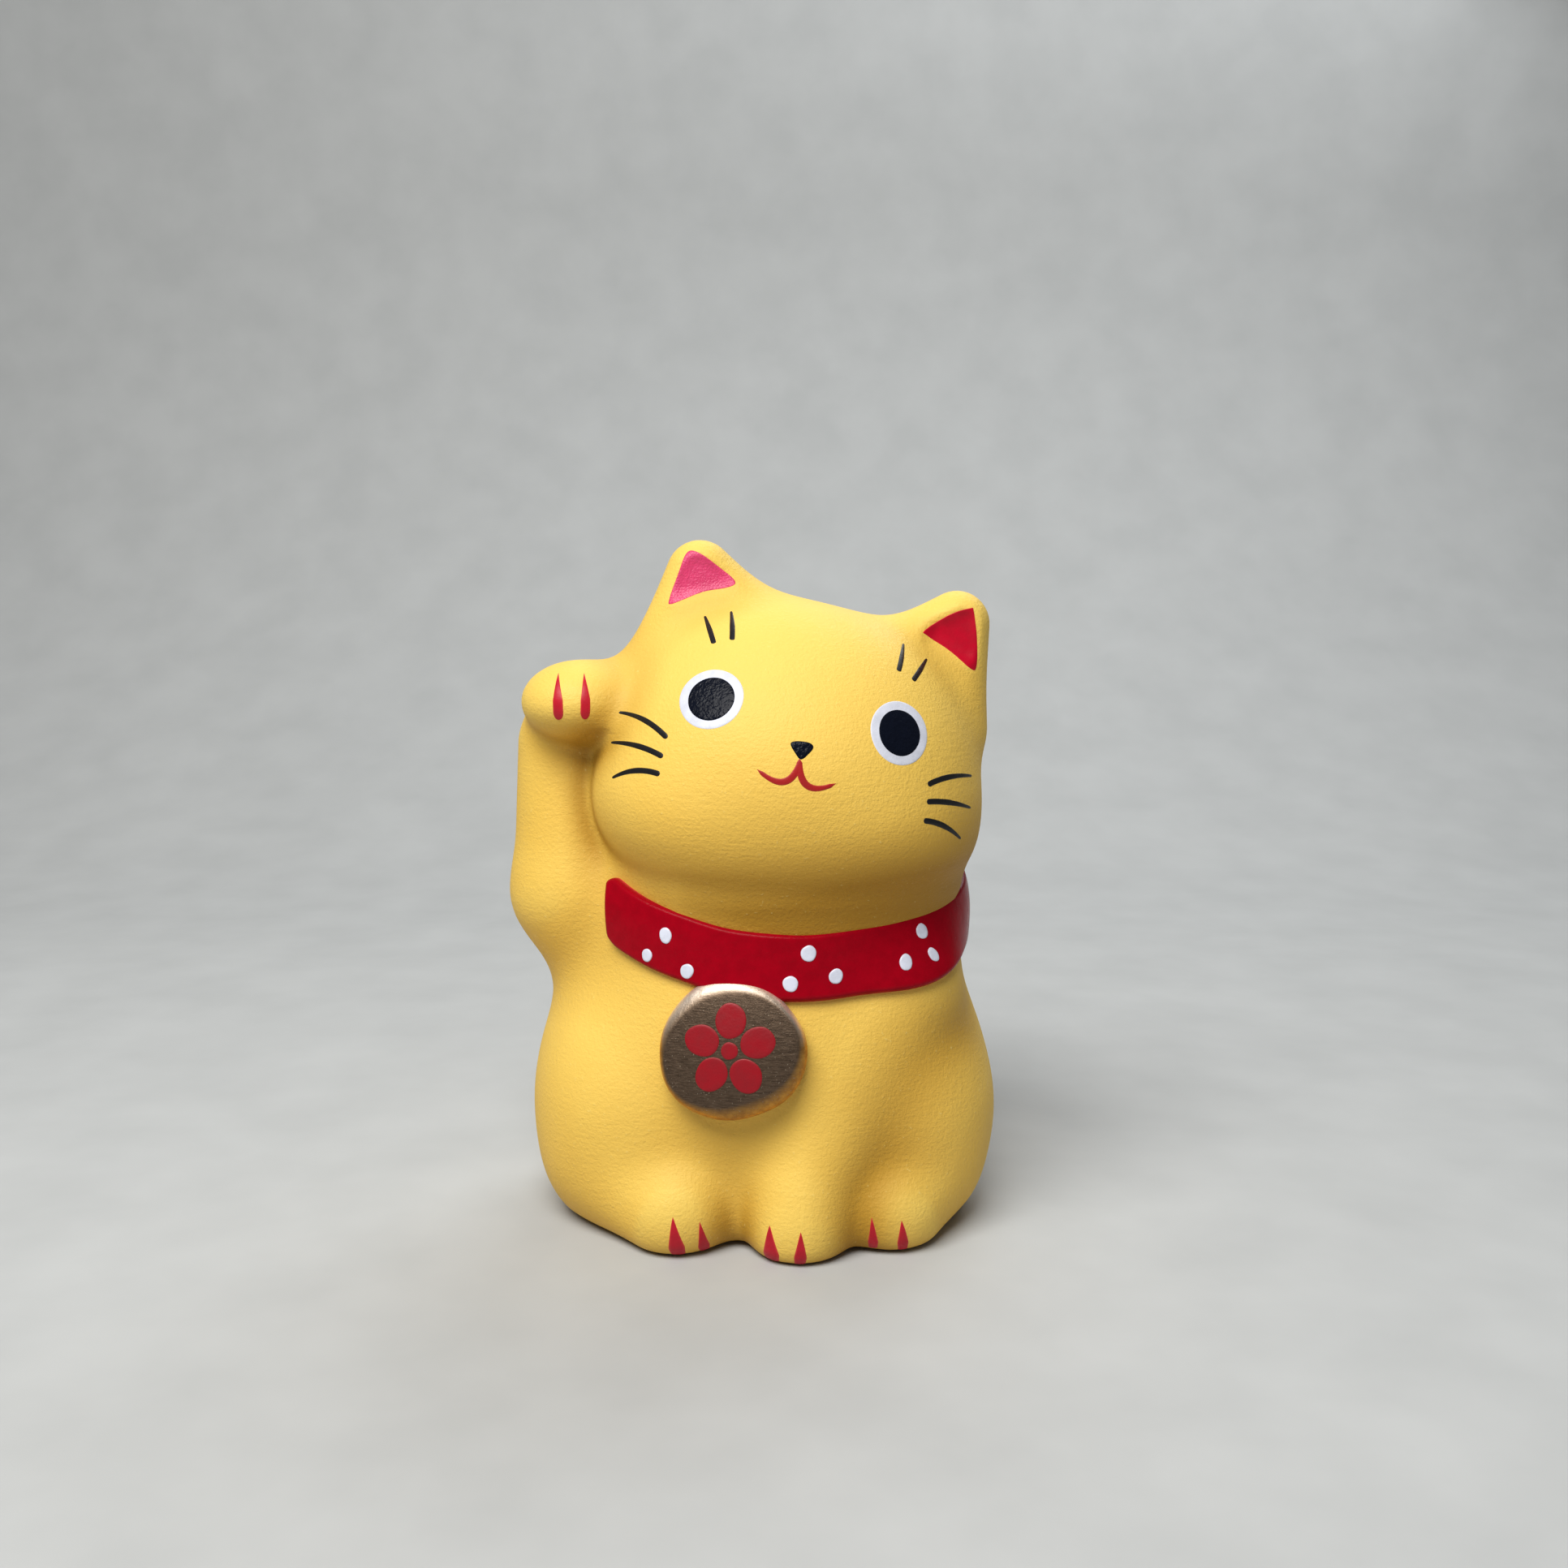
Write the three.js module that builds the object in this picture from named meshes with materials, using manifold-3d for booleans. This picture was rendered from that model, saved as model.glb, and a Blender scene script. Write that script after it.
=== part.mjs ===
// A beckoning cat figurine: a hollow ceramic cat with a raised arm, a collar with dots, a round
// medallion on the chest and painted marks laid on as thin films of enamel.
// Millimetres, +Z up. The cat sits on z = 0 and faces -Y. Its raised arm is on the -X side.
import * as THREE from "three";
import Module from "manifold-3d";

const manifold = await Module();
manifold.setup();

// Driving dimensions
const wall = 3.4; // thickness of the cast shell
const ventRadius = 9.5; // hole under the base
const outerCell = 2.6; // facet size of the outer skin
const innerCell = 5; // facet size of the hollow
const gap = 0.3; // clear space between neighbouring pieces
const enamel = 0.35; // thickness of a painted film
const collarHalfWidth = 4.5;
const collarRelief = 1.35; // how far the band stands off the neck
const collarSaddle = 2.4; // how much higher the band runs at the sides than front and back
const middle = [-1.84, -1.21, 0]; // centre of the footprint, moved to the origin

const colours = {
  yellow: 0xe9c74c,
  red: 0xa8122a,
  pink: 0xc2284a,
  gold: 0x8a6f4a,
  black: 0x14161b,
  white: 0xeef0f4,
};

// ---------------------------------------------------------------- vectors and frames

const add = (a, b) => [a[0] + b[0], a[1] + b[1], a[2] + b[2]];
const subtract = (a, b) => [a[0] - b[0], a[1] - b[1], a[2] - b[2]];
const scale = (a, s) => [a[0] * s, a[1] * s, a[2] * s];
const dot = (a, b) => a[0] * b[0] + a[1] * b[1] + a[2] * b[2];
const cross = (a, b) => [
  a[1] * b[2] - a[2] * b[1],
  a[2] * b[0] - a[0] * b[2],
  a[0] * b[1] - a[1] * b[0],
];
const length = (a) => Math.hypot(a[0], a[1], a[2]);
const unit = (a) => scale(a, 1 / length(a));
const clamp = (x, low, high) => Math.min(Math.max(x, low), high);
const mix = (a, b, t) => a + (b - a) * t;

// A frame at origin, turned about Z by yaw, then about its X by pitch, then about its Y by roll.
function makeFrame(origin, yaw, pitch, roll) {
  const [y, p, r] = [yaw, pitch, roll].map(THREE.MathUtils.degToRad);
  const turn = new THREE.Matrix4().makeRotationZ(y);
  turn.multiply(new THREE.Matrix4().makeRotationX(p));
  turn.multiply(new THREE.Matrix4().makeRotationY(r));
  const axis = (i) => turn.elements.slice(4 * i, 4 * i + 3);
  return { origin, x: axis(0), y: axis(1), z: axis(2) };
}

function toWorld(frame, q) {
  const turned = add(scale(frame.x, q[0]), add(scale(frame.y, q[1]), scale(frame.z, q[2])));
  return add(frame.origin, turned);
}

function toLocal(frame, p) {
  const d = subtract(p, frame.origin);
  return [dot(d, frame.x), dot(d, frame.y), dot(d, frame.z)];
}

const world = makeFrame([0, 0, 0], 0, 0, 0);
const head = makeFrame([4.6, -4, 67], 3, -6, 10.5);
const neck = makeFrame([1, 0, 45.8], 0, 11, 4);
const disc = makeFrame([-4.5, -27.2, 30.6], -8, -14, 0);

// ---------------------------------------------------------------- distances to simple forms

function ellipsoid(p, centre, radii) {
  const q = subtract(p, centre);
  const k0 = length([q[0] / radii[0], q[1] / radii[1], q[2] / radii[2]]);
  const k1 = length([q[0] / radii[0] ** 2, q[1] / radii[1] ** 2, q[2] / radii[2] ** 2]);
  return (k0 * (k0 - 1)) / Math.max(k1, 1e-9);
}

// A limb between two balls.
function limb(p, a, b, radiusA, radiusB) {
  const along = subtract(b, a);
  const l2 = dot(along, along);
  const taper = radiusA - radiusB;
  const a2 = l2 - taper * taper;
  const fromA = subtract(p, a);
  const y = dot(fromA, along);
  const z = y - l2;
  const off = subtract(scale(fromA, l2), scale(along, y));
  const x2 = dot(off, off);
  const y2 = y * y * l2;
  const z2 = z * z * l2;
  const k = Math.sign(taper) * taper * taper * x2;
  if (Math.sign(z) * a2 * z2 > k) return Math.sqrt(x2 + z2) / l2 - radiusB;
  if (Math.sign(y) * a2 * y2 < k) return Math.sqrt(x2 + y2) / l2 - radiusA;
  return (Math.sqrt((x2 * a2) / l2) + y * taper) / l2 - radiusA;
}

// A flat triangle with its edges rounded by radius.
function roundedTriangle(p, corners, radius) {
  const [a, b, c] = corners;
  const edges = [subtract(b, a), subtract(c, b), subtract(a, c)];
  const from = [subtract(p, a), subtract(p, b), subtract(p, c)];
  const normal = cross(edges[0], edges[2]);
  let sides = 0;
  let nearest = Infinity;
  edges.forEach((edge, i) => {
    sides += Math.sign(dot(cross(edge, normal), from[i]));
    const t = clamp(dot(edge, from[i]) / dot(edge, edge), 0, 1);
    nearest = Math.min(nearest, length(subtract(scale(edge, t), from[i])));
  });
  const flat = Math.abs(dot(normal, from[0])) / length(normal);
  return (sides < 2 ? nearest : flat) - radius;
}

// The two forms run together over a seam about `soft` wide.
function blend(a, b, soft) {
  const h = Math.max(soft - Math.abs(a - b), 0) / soft;
  return Math.min(a, b) - (h * h * h * soft) / 6;
}

// ---------------------------------------------------------------- the cat's form

function headForm(p) {
  const q = toLocal(head, p);
  let form = ellipsoid(q, [-0.3, 0, -2.2], [28.3, 25, 22.4]);
  form = blend(form, ellipsoid(q, [-0.8, 2, 7], [25.4, 20, 17.6]), 8);
  form = blend(form, ellipsoid(q, [-10, -1.5, -8], [18.3, 20, 13.2]), 6);
  form = blend(form, ellipsoid(q, [9.5, -1.5, -6], [17.6, 20, 12]), 6);
  const leftEar = roundedTriangle(q, [[-18.8, 0, 25.5], [-22.3, 1, 10], [-5.5, 1, 17]], 5);
  const rightEar = roundedTriangle(q, [[20, 0, 25.2], [22, 1, 10.4], [7.2, 1, 15.6]], 4.9);
  return blend(blend(form, leftEar, 7), rightEar, 7);
}

function torsoForm(p) {
  const belly = ellipsoid(p, [-0.3, 1, 17], [34.4, 24.5, 37]);
  const shoulders = ellipsoid(p, [1.4, 0, 45], [28.5, 22, 26]);
  const chest = ellipsoid(p, [0, -5, 27], [24, 20, 20]);
  return blend(blend(belly, shoulders, 8), chest, 8);
}

function raisedArmForm(p) {
  const upper = limb(p, [-20, 2, 33], [-27.9, 0, 48], 10.5, 10.2);
  const lower = limb(p, [-27.9, 0, 48], [-28.9, 0, 70], 10.2, 8.1);
  const paw = ellipsoid(p, [-26.7, -5.5, 76.3], [8.6, 9.8, 6.7]);
  const web = limb(p, [-21, 3, 48], [-20, 2, 75], 8, 7);
  return blend(blend(blend(upper, lower, 4), paw, 6), web, 5);
}

function frontLegForm(p) {
  const leg = limb(p, [17, -8.5, 34], [6, -19.5, 9], 12, 8.5);
  return blend(leg, ellipsoid(p, [5.2, -22.8, 3.5], [7.3, 7, 7.5]), 5);
}

function leftHaunchForm(p) {
  const thigh = ellipsoid(p, [-18.6, -6, 16], [15.4, 16.5, 18.5]);
  return blend(thigh, limb(p, [-22.8, -9.5, 9], [-12.5, -19.3, 5], 9, 8.3), 6);
}

function rightHaunchForm(p) {
  const thigh = ellipsoid(p, [20, -6, 15.5], [14.5, 16.5, 18]);
  return blend(thigh, limb(p, [22.8, -11, 8.5], [18.2, -17.9, 5], 8.7, 8.3), 5);
}

function tailForm(p) {
  return limb(p, [3, 23.5, 5], [13, 23, 9], 4.6, 3.6);
}

// Distance to the cat without its head.
function trunk(p) {
  let form = blend(torsoForm(p), leftHaunchForm(p), 7);
  form = blend(form, rightHaunchForm(p), 6);
  form = blend(form, frontLegForm(p), 6);
  form = blend(form, tailForm(p), 5);
  return blend(form, raisedArmForm(p), 6);
}

// Distance to the whole outer skin, which runs on below the floor until the base is cut.
function skin(p) {
  return blend(trunk(p), headForm(p), 3);
}

// Distance to the hollow, which follows the torso and the head and leaves the arm and feet solid.
function hollow(p) {
  const q = toLocal(head, p);
  const skull = ellipsoid(q, [0, 0, -1], [27, 23, 22]);
  const inside = blend(torsoForm(p), skull, 6) + wall;
  return Math.max(inside, wall - p[2]);
}

// Distance to the skin or the outer face of the collar, whichever is nearer.
function skinAndCollar(p) {
  const q = toLocal(neck, p);
  const band = Math.max(trunk(p) - collarRelief, Math.abs(q[2]) - collarHalfWidth - 0.3);
  return Math.min(skin(p), band);
}

function normalAt(form, p) {
  const e = 0.05;
  const slope = [[e, 0, 0], [0, e, 0], [0, 0, e]].map(
    (step) => form(add(p, step)) - form(subtract(p, step)),
  );
  return unit(slope);
}

// Walks from a point along a direction until it meets the form.
function cast(form, from, along) {
  let point = from;
  for (let step = 0; step < 160; step += 1) {
    const distance = form(point);
    if (Math.abs(distance) < 1e-3) break;
    point = add(point, scale(along, 0.8 * distance));
  }
  return point;
}

// ---------------------------------------------------------------- skins made from distances

// Every cell that the form's surface passes through gets one corner, moved onto the surface, and
// every grid edge that crosses the surface gets a quad between its four cells.
function polygonise(form, low, high, cell) {
  const count = low.map((start, i) => Math.ceil((high[i] - start) / cell) + 1);
  const at = (i, j, k) => i + count[0] * (j + count[1] * k);
  const place = (i, j, k) => [low[0] + i * cell, low[1] + j * cell, low[2] + k * cell];
  const values = new Float32Array(count[0] * count[1] * count[2]);
  for (let k = 0; k < count[2]; k += 1)
    for (let j = 0; j < count[1]; j += 1)
      for (let i = 0; i < count[0]; i += 1) values[at(i, j, k)] = form(place(i, j, k));

  const corners = [];
  const cornerOf = new Map();
  function cellCorner(i, j, k) {
    const key = at(i, j, k);
    if (cornerOf.has(key)) return cornerOf.get(key);
    let sum = [0, 0, 0];
    let crossings = 0;
    for (const [axis, ends] of CELL_EDGES) {
      const a = [i + ends[0], j + ends[1], k + ends[2]];
      const b = a.map((v, n) => v + (n === axis ? 1 : 0));
      const [va, vb] = [values[at(...a)], values[at(...b)]];
      if (va < 0 === vb < 0) continue;
      const t = va / (va - vb);
      sum = add(sum, place(...a.map((v, n) => v + (n === axis ? t : 0))));
      crossings += 1;
    }
    let corner = scale(sum, 1 / crossings);
    for (let n = 0; n < 3; n += 1)
      corner = subtract(corner, scale(normalAt(form, corner), form(corner)));
    corners.push(corner);
    cornerOf.set(key, corners.length - 1);
    return corners.length - 1;
  }

  const triangles = [];
  function quad(a, b, c, d, flip) {
    const short = length(subtract(corners[a], corners[c])) < length(subtract(corners[b], corners[d]));
    const halves = short ? [[a, b, c], [a, c, d]] : [[a, b, d], [b, c, d]];
    for (const [x, y, z] of halves) triangles.push(flip ? [x, z, y] : [x, y, z]);
  }
  for (let k = 1; k < count[2] - 1; k += 1)
    for (let j = 1; j < count[1] - 1; j += 1)
      for (let i = 1; i < count[0] - 1; i += 1)
        for (let axis = 0; axis < 3; axis += 1) {
          const next = [i, j, k].map((v, n) => v + (n === axis ? 1 : 0));
          const inside = values[at(i, j, k)] < 0;
          if (inside === values[at(...next)] < 0) continue;
          const u = (axis + 1) % 3;
          const v = (axis + 2) % 3;
          const ring = [[0, 0], [1, 0], [1, 1], [0, 1]].map(([du, dv]) => {
            const c = [i, j, k];
            c[u] -= du;
            c[v] -= dv;
            return cellCorner(...c);
          });
          quad(...ring, !inside);
        }
  return { corners, triangles };
}

// The twelve edges of a cell: the axis each runs along and the corner it starts from.
const CELL_EDGES = [0, 1, 2].flatMap((axis) =>
  [[0, 0], [1, 0], [0, 1], [1, 1]].map(([u, v]) => {
    const start = [0, 0, 0];
    start[(axis + 1) % 3] = u;
    start[(axis + 2) % 3] = v;
    return [axis, start];
  }),
);

// ---------------------------------------------------------------- sheets and plates

// A flat sheet with a closed outline, filled by rings that shrink towards its middle.
function filledSheet(outline, rings) {
  const total = outline.reduce((sum, p) => [sum[0] + p[0], sum[1] + p[1]], [0, 0]);
  const centre = total.map((v) => v / outline.length);
  const points = [centre];
  const triangles = [];
  const n = outline.length;
  for (let ring = 1; ring <= rings; ring += 1)
    for (const p of outline)
      points.push([mix(centre[0], p[0], ring / rings), mix(centre[1], p[1], ring / rings)]);
  for (let i = 0; i < n; i += 1) {
    const j = (i + 1) % n;
    triangles.push([0, 1 + i, 1 + j]);
    for (let ring = 1; ring < rings; ring += 1) {
      const inner = 1 + (ring - 1) * n;
      const outer = inner + n;
      triangles.push([inner + i, outer + i, outer + j], [inner + i, outer + j, inner + j]);
    }
  }
  return { points, triangles };
}

// A grid sheet: pointAt(s, t) for s and t from 0 to 1.
function gridSheet(columns, rows, pointAt) {
  const points = [];
  const triangles = [];
  for (let i = 0; i <= columns; i += 1)
    for (let j = 0; j <= rows; j += 1) points.push(pointAt(i / columns, j / rows));
  for (let i = 0; i < columns; i += 1)
    for (let j = 0; j < rows; j += 1) {
      const a = i * (rows + 1) + j;
      const b = a + rows + 1;
      triangles.push([a, b, b + 1], [a, b + 1, a + 1]);
    }
  return { points, triangles };
}

// A brush stroke through three points, as wide at s as widthAt(s).
function strokeSheet(through, widthAt, columns) {
  const [from, via, to] = through;
  const bend = via.map((v, i) => 2 * v - (from[i] + to[i]) / 2);
  return gridSheet(columns, 2, (s, t) => {
    const here = from.map((v, i) => mix(mix(v, bend[i], s), mix(bend[i], to[i], s), s));
    const ahead = from.map((v, i) => mix(bend[i] - v, to[i] - bend[i], s));
    const size = Math.hypot(ahead[0], ahead[1]);
    const side = (t - 0.5) * widthAt(s);
    return [here[0] - (ahead[1] / size) * side, here[1] + (ahead[0] / size) * side];
  });
}

// A closed plate between the places innerAt and outerAt give to each point of a sheet.
function plate(sheet, innerAt, outerAt) {
  const n = sheet.points.length;
  const corners = [...sheet.points.map(outerAt), ...sheet.points.map(innerAt)];
  const triangles = [];
  const edges = new Map();
  for (const [a, b, c] of sheet.triangles) {
    triangles.push([a, b, c], [a + n, c + n, b + n]);
    for (const [from, to] of [[a, b], [b, c], [c, a]]) edges.set(from * n + to, [from, to]);
  }
  for (const [from, to] of edges.values())
    if (!edges.has(to * n + from))
      triangles.push([from, from + n, to + n], [from, to + n, to]);
  return { corners, triangles };
}

// ---------------------------------------------------------------- meshes

function toSolid({ corners, triangles }) {
  const mesh = new manifold.Mesh({
    numProp: 3,
    vertProperties: new Float32Array(corners.flat()),
    triVerts: new Uint32Array(triangles.flat()),
  });
  const solid = new manifold.Manifold(mesh);
  if (solid.volume() > 0) return solid;
  return toSolid({ corners, triangles: triangles.map(([a, b, c]) => [a, c, b]) });
}

function geometryToSolid(geometry) {
  const flat = geometry.toNonIndexed().attributes.position.array;
  const seen = new Map();
  const corners = [];
  const order = [];
  for (let i = 0; i < flat.length; i += 3) {
    const corner = Array.from(flat.slice(i, i + 3));
    const key = corner.map((v) => Math.round(v * 1e4)).join();
    if (!seen.has(key)) seen.set(key, corners.push(corner) - 1);
    order.push(seen.get(key));
  }
  const triangles = [];
  for (let i = 0; i < order.length; i += 3) {
    const [a, b, c] = order.slice(i, i + 3);
    if (a !== b && b !== c && c !== a) triangles.push([a, b, c]);
  }
  return toSolid({ corners, triangles });
}

function toMesh(name, solid, colour, roughness, metalness) {
  const made = solid.getMesh();
  const geometry = new THREE.BufferGeometry();
  geometry.setAttribute("position", new THREE.BufferAttribute(made.vertProperties, 3));
  geometry.setIndex(new THREE.BufferAttribute(made.triVerts, 1));
  geometry.translate(-middle[0], -middle[1], -middle[2]);
  geometry.computeVertexNormals();
  const material = new THREE.MeshStandardMaterial({ color: colour, roughness, metalness });
  const mesh = new THREE.Mesh(geometry, material);
  mesh.name = name;
  return mesh;
}

// ---------------------------------------------------------------- the shell, collar and medallion

function bodyShell() {
  const stub = 5; // the skin runs on this far below the floor before the base is cut flat
  const uncut = (p) => Math.max(skin(p), -stub - p[2]);
  const outside = toSolid(polygonise(uncut, [-42, -36, -9], [42, 36, 108], outerCell));
  const inside = toSolid(polygonise(hollow, [-40, -34, -8], [40, 34, 100], innerCell));
  const floor = new THREE.BoxGeometry(200, 200, 40).translate(0, 0, -20);
  const vent = new THREE.CylinderGeometry(ventRadius, ventRadius, 3 * wall, 24);
  vent.rotateX(Math.PI / 2).translate(1, 3, 1);
  const solid = outside
    .subtract(geometryToSolid(floor))
    .subtract(inside)
    .subtract(geometryToSolid(vent));
  return toMesh("body_shell", solid, colours.yellow, 0.85, 0);
}

// The point of the neck at a bearing (0 at the front, positive to +X) and a height on the band.
function neckPoint(bearing, heightOnBand, form) {
  const angle = THREE.MathUtils.degToRad(bearing);
  const rise = collarSaddle * Math.sin(angle) ** 2;
  const outward = subtract(
    toWorld(neck, [Math.sin(angle), -Math.cos(angle), 0]),
    neck.origin,
  );
  const axis = toWorld(neck, [0, 0, heightOnBand + rise]);
  return cast(form, add(axis, scale(outward, 60)), scale(outward, -1));
}

function offsetFrom(form, point, distance) {
  return add(point, scale(normalAt(form, point), distance));
}

// How high the band reaches at a bearing before the chin or the arm covers it.
function bandReach(bearing, direction) {
  const step = 0.25;
  for (let h = 0; h < collarHalfWidth; h += step) {
    const onNeck = neckPoint(bearing, direction * (h + step), trunk);
    const front = skin(offsetFrom(trunk, onNeck, collarRelief));
    const back = skin(offsetFrom(trunk, onNeck, gap));
    if (front < 2 * gap || back < 0.8 * gap) return h;
  }
  return collarHalfWidth;
}

// The band as a closed solid. `grow` makes it larger all round, for the groove it sits in.
function bandSolid() {
  const [firstBearing, lastBearing] = [-63.5, 236];
  const slant = 1.3; // degrees of bearing the first end leans for each millimetre of height
  const endLift = 0.9; // how much higher the band runs at its first end
  const liftSpan = 25; // degrees of bearing over which it comes down
  const roundSpan = 4; // degrees of bearing over which each end is rounded
  const levels = [-1, -0.86, 0, 0.86, 1];
  const rise = [0.75, 1.25, collarRelief, 1.25, 0.75];
  const reach = new Map();
  const sheet = gridSheet(64, levels.length - 1, (s, t) => {
    const row = Math.round(t * (levels.length - 1));
    const bearing = mix(firstBearing, lastBearing, s);
    const toEnd = Math.min(s, 1 - s) * (lastBearing - firstBearing);
    const taper = Math.sqrt(1 - (1 - clamp(toEnd / roundSpan, 0, 1)) ** 2) * 0.28 + 0.72;
    if (!reach.has(s)) reach.set(s, [bandReach(bearing, -1), bandReach(bearing, 1)]);
    const [down, up] = reach.get(s);
    const limit = Math.max(levels[row] < 0 ? down : up, 1.5);
    const lift = endLift * (1 - clamp((bearing - firstBearing) / liftSpan, 0, 1)) ** 2;
    const h = Math.min(levels[row] * limit * taper + lift, up);
    return [bearing - slant * h * (1 - s), h, rise[row]];
  });
  const at = (distanceOf) => (p) => offsetFrom(trunk, neckPoint(p[0], p[1], trunk), distanceOf(p));
  return toSolid(plate(sheet, at(() => gap), at((p) => p[2])));
}

function collarBand() {
  return toMesh("collar_band", bandSolid(), colours.red, 0.35, 0);
}

const discRadii = [10.3, 9.8];

// How far the medallion's face lies behind the top of its dome, at a share of its radius.
function domeDrop(share) {
  return 0.7 * share ** 2 + 1.1 * clamp((share - 0.82) / 0.18, 0, 1) ** 2;
}

function facePoint(u, v) {
  const share = Math.hypot(u / discRadii[0], v / discRadii[1]);
  return toWorld(disc, [u, domeDrop(share), v]);
}

function medallion() {
  const sides = 40;
  const outline = Array.from({ length: sides }, (_, i) => {
    const angle = (i / sides) * 2 * Math.PI;
    const uneven = 1 + 0.012 * Math.sin(2 * angle + 1) + 0.01 * Math.sin(3 * angle);
    return [discRadii[0] * uneven * Math.cos(angle), discRadii[1] * uneven * Math.sin(angle)];
  });
  const behind = (p) => skinAndCollar(p) - gap - 0.1;
  const innerAt = ([u, v]) => cast(behind, toWorld(disc, [u, -20, v]), disc.y);
  const solid = toSolid(plate(filledSheet(outline, 6), innerAt, ([u, v]) => facePoint(u, v)));
  return toMesh("medallion", solid, colours.gold, 0.4, 0.8);
}

// ---------------------------------------------------------------- painted marks

// A painted film of a sheet laid on the skin, seen square on to the frame's XZ plane. `under` is the
// thickness of the film it lies on.
function film(frame, sheet, under = 0) {
  const onSkin = sheet.points.map(([u, v]) => cast(skin, toWorld(frame, [u, -60, v]), frame.y));
  const order = new Map(sheet.points.map((p, i) => [p, onSkin[i]]));
  const innerAt = (p) => offsetFrom(skin, order.get(p), under + gap);
  const outerAt = (p) => offsetFrom(skin, order.get(p), under + gap + enamel);
  return toSolid(plate(sheet, innerAt, outerAt));
}

function ellipseOutline(centre, radii, tilt, sides) {
  const lean = THREE.MathUtils.degToRad(tilt);
  return Array.from({ length: sides }, (_, i) => {
    const angle = (i / sides) * 2 * Math.PI;
    const [a, b] = [radii[0] * Math.cos(angle), radii[1] * Math.sin(angle)];
    const u = a * Math.cos(lean) - b * Math.sin(lean);
    return [centre[0] + u, centre[1] + a * Math.sin(lean) + b * Math.cos(lean)];
  });
}

// A closed soft outline through a few points.
function softOutline(points, sides) {
  const ring = points.map(([u, v]) => new THREE.Vector3(u, v, 0));
  const curve = new THREE.CatmullRomCurve3(ring, true, "centripetal");
  return curve.getSpacedPoints(sides).slice(0, sides).map((p) => [p.x, p.y]);
}

// A fine start that soon swells to full width.
const swelling = (width) => (s) => width * (0.4 + 0.6 * Math.min(1, 1.9 * s));
// Drawn from a point to full width near the end.
const flame = (width) => (s) => width * (0.1 + 0.9 * Math.min(1, 1.35 * s) ** 0.85);
// Thickest a little past the middle and fine at both ends.
const crescent = (width) => (s) =>
  width * (0.45 + 0.55 * Math.sin(Math.PI * Math.min(1, s + 0.12)));

const whiskers = {
  whisker_left_top: [[-26.3, 3.3], [-22.7, 2.9], [-19, 1]],
  whisker_left_middle: [[-26.6, -1.1], [-23, -0.8], [-19.1, -1.6]],
  whisker_left_bottom: [[-25.7, -5.9], [-22.6, -4.2], [-19.1, -4]],
  whisker_right_top: [[24.5, 3.3], [20.5, 2.6], [17.2, 1]],
  whisker_right_middle: [[24.9, -1.2], [21, -0.9], [17.4, -1.3]],
  whisker_right_bottom: [[23.9, -5.7], [20.6, -4.2], [17.4, -3.9]],
};
const whiskerWidth = 0.78;

const brows = {
  brow_left_outer: [[-17, 19.1], [-16, 17.2], [-15, 15.1]],
  brow_left_inner: [[-13.4, 20.4], [-12.9, 18.2], [-12.6, 16]],
  brow_right_inner: [[11.8, 20.3], [11.5, 18.1], [11.1, 15.9]],
  brow_right_outer: [[15.6, 18.8], [14.6, 17], [13.4, 15]],
};
const browWidth = 0.74;

const mouth = {
  mouth_left: [[-1.25, 0.9], [-2.9, -1.8], [-6.4, -0.9]],
  mouth_right: [[-0.4, 0.3], [1.4, -2], [4.3, -0.9]],
};
const mouthWidth = 0.7;

const claws = {
  claw_raised_outer: { through: [[-29.1, 81.4], [-28.8, 78], [-28.8, 75.2]], width: 1.45 },
  claw_raised_inner: { through: [[-25.4, 81.4], [-24.9, 78.1], [-25.1, 75.3]], width: 1.3 },
  claw_left_foot_outer: { through: [[-12.5, 6.7], [-12.2, 3.7], [-11.9, 1]], width: 2.05 },
  claw_left_foot_inner: { through: [[-8.8, 5.7], [-8.4, 3.1], [-8.2, 1]], width: 1.45 },
  claw_front_paw_outer: { through: [[1, 5.9], [1.1, 3.3], [1.4, 1]], width: 1.95 },
  claw_front_paw_inner: { through: [[5.3, 5.5], [5.3, 3.2], [5.2, 1]], width: 1.6 },
  claw_right_foot_inner: { through: [[15.3, 6], [15.5, 3.4], [15.6, 1.1]], width: 1.45 },
  claw_right_foot_outer: { through: [[19.5, 5.6], [19.7, 3.2], [19.8, 1]], width: 1.6 },
};

function strokes(table, widthAt, colour, roughness) {
  return Object.entries(table).map(([name, through]) => {
    const solid = film(head, strokeSheet(through, widthAt, 7));
    return toMesh(name, solid, colour, roughness, 0);
  });
}

function clawMarks() {
  return Object.entries(claws).map(([name, { through, width }]) => {
    const solid = film(world, strokeSheet(through, flame(width), 7));
    return toMesh(name, solid, colours.red, 0.4, 0);
  });
}

const earCorners = {
  left: [[-21.2, 27.9], [-19.6, 28.2], [-13.7, 25.2], [-14.1, 24.1], [-18, 22.6], [-22.5, 20.5]],
  right: [[20.9, 27.4], [18.1, 25.9], [14.9, 23], [19, 20.8], [23.1, 18.9], [22.9, 22.9]],
};

function earLinings() {
  return Object.entries(earCorners).map(([side, corners]) => {
    const sheet = filledSheet(softOutline(corners, 20), 2);
    return toMesh("ear_lining_" + side, film(head, sheet), colours.pink, 0.5, 0);
  });
}

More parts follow.
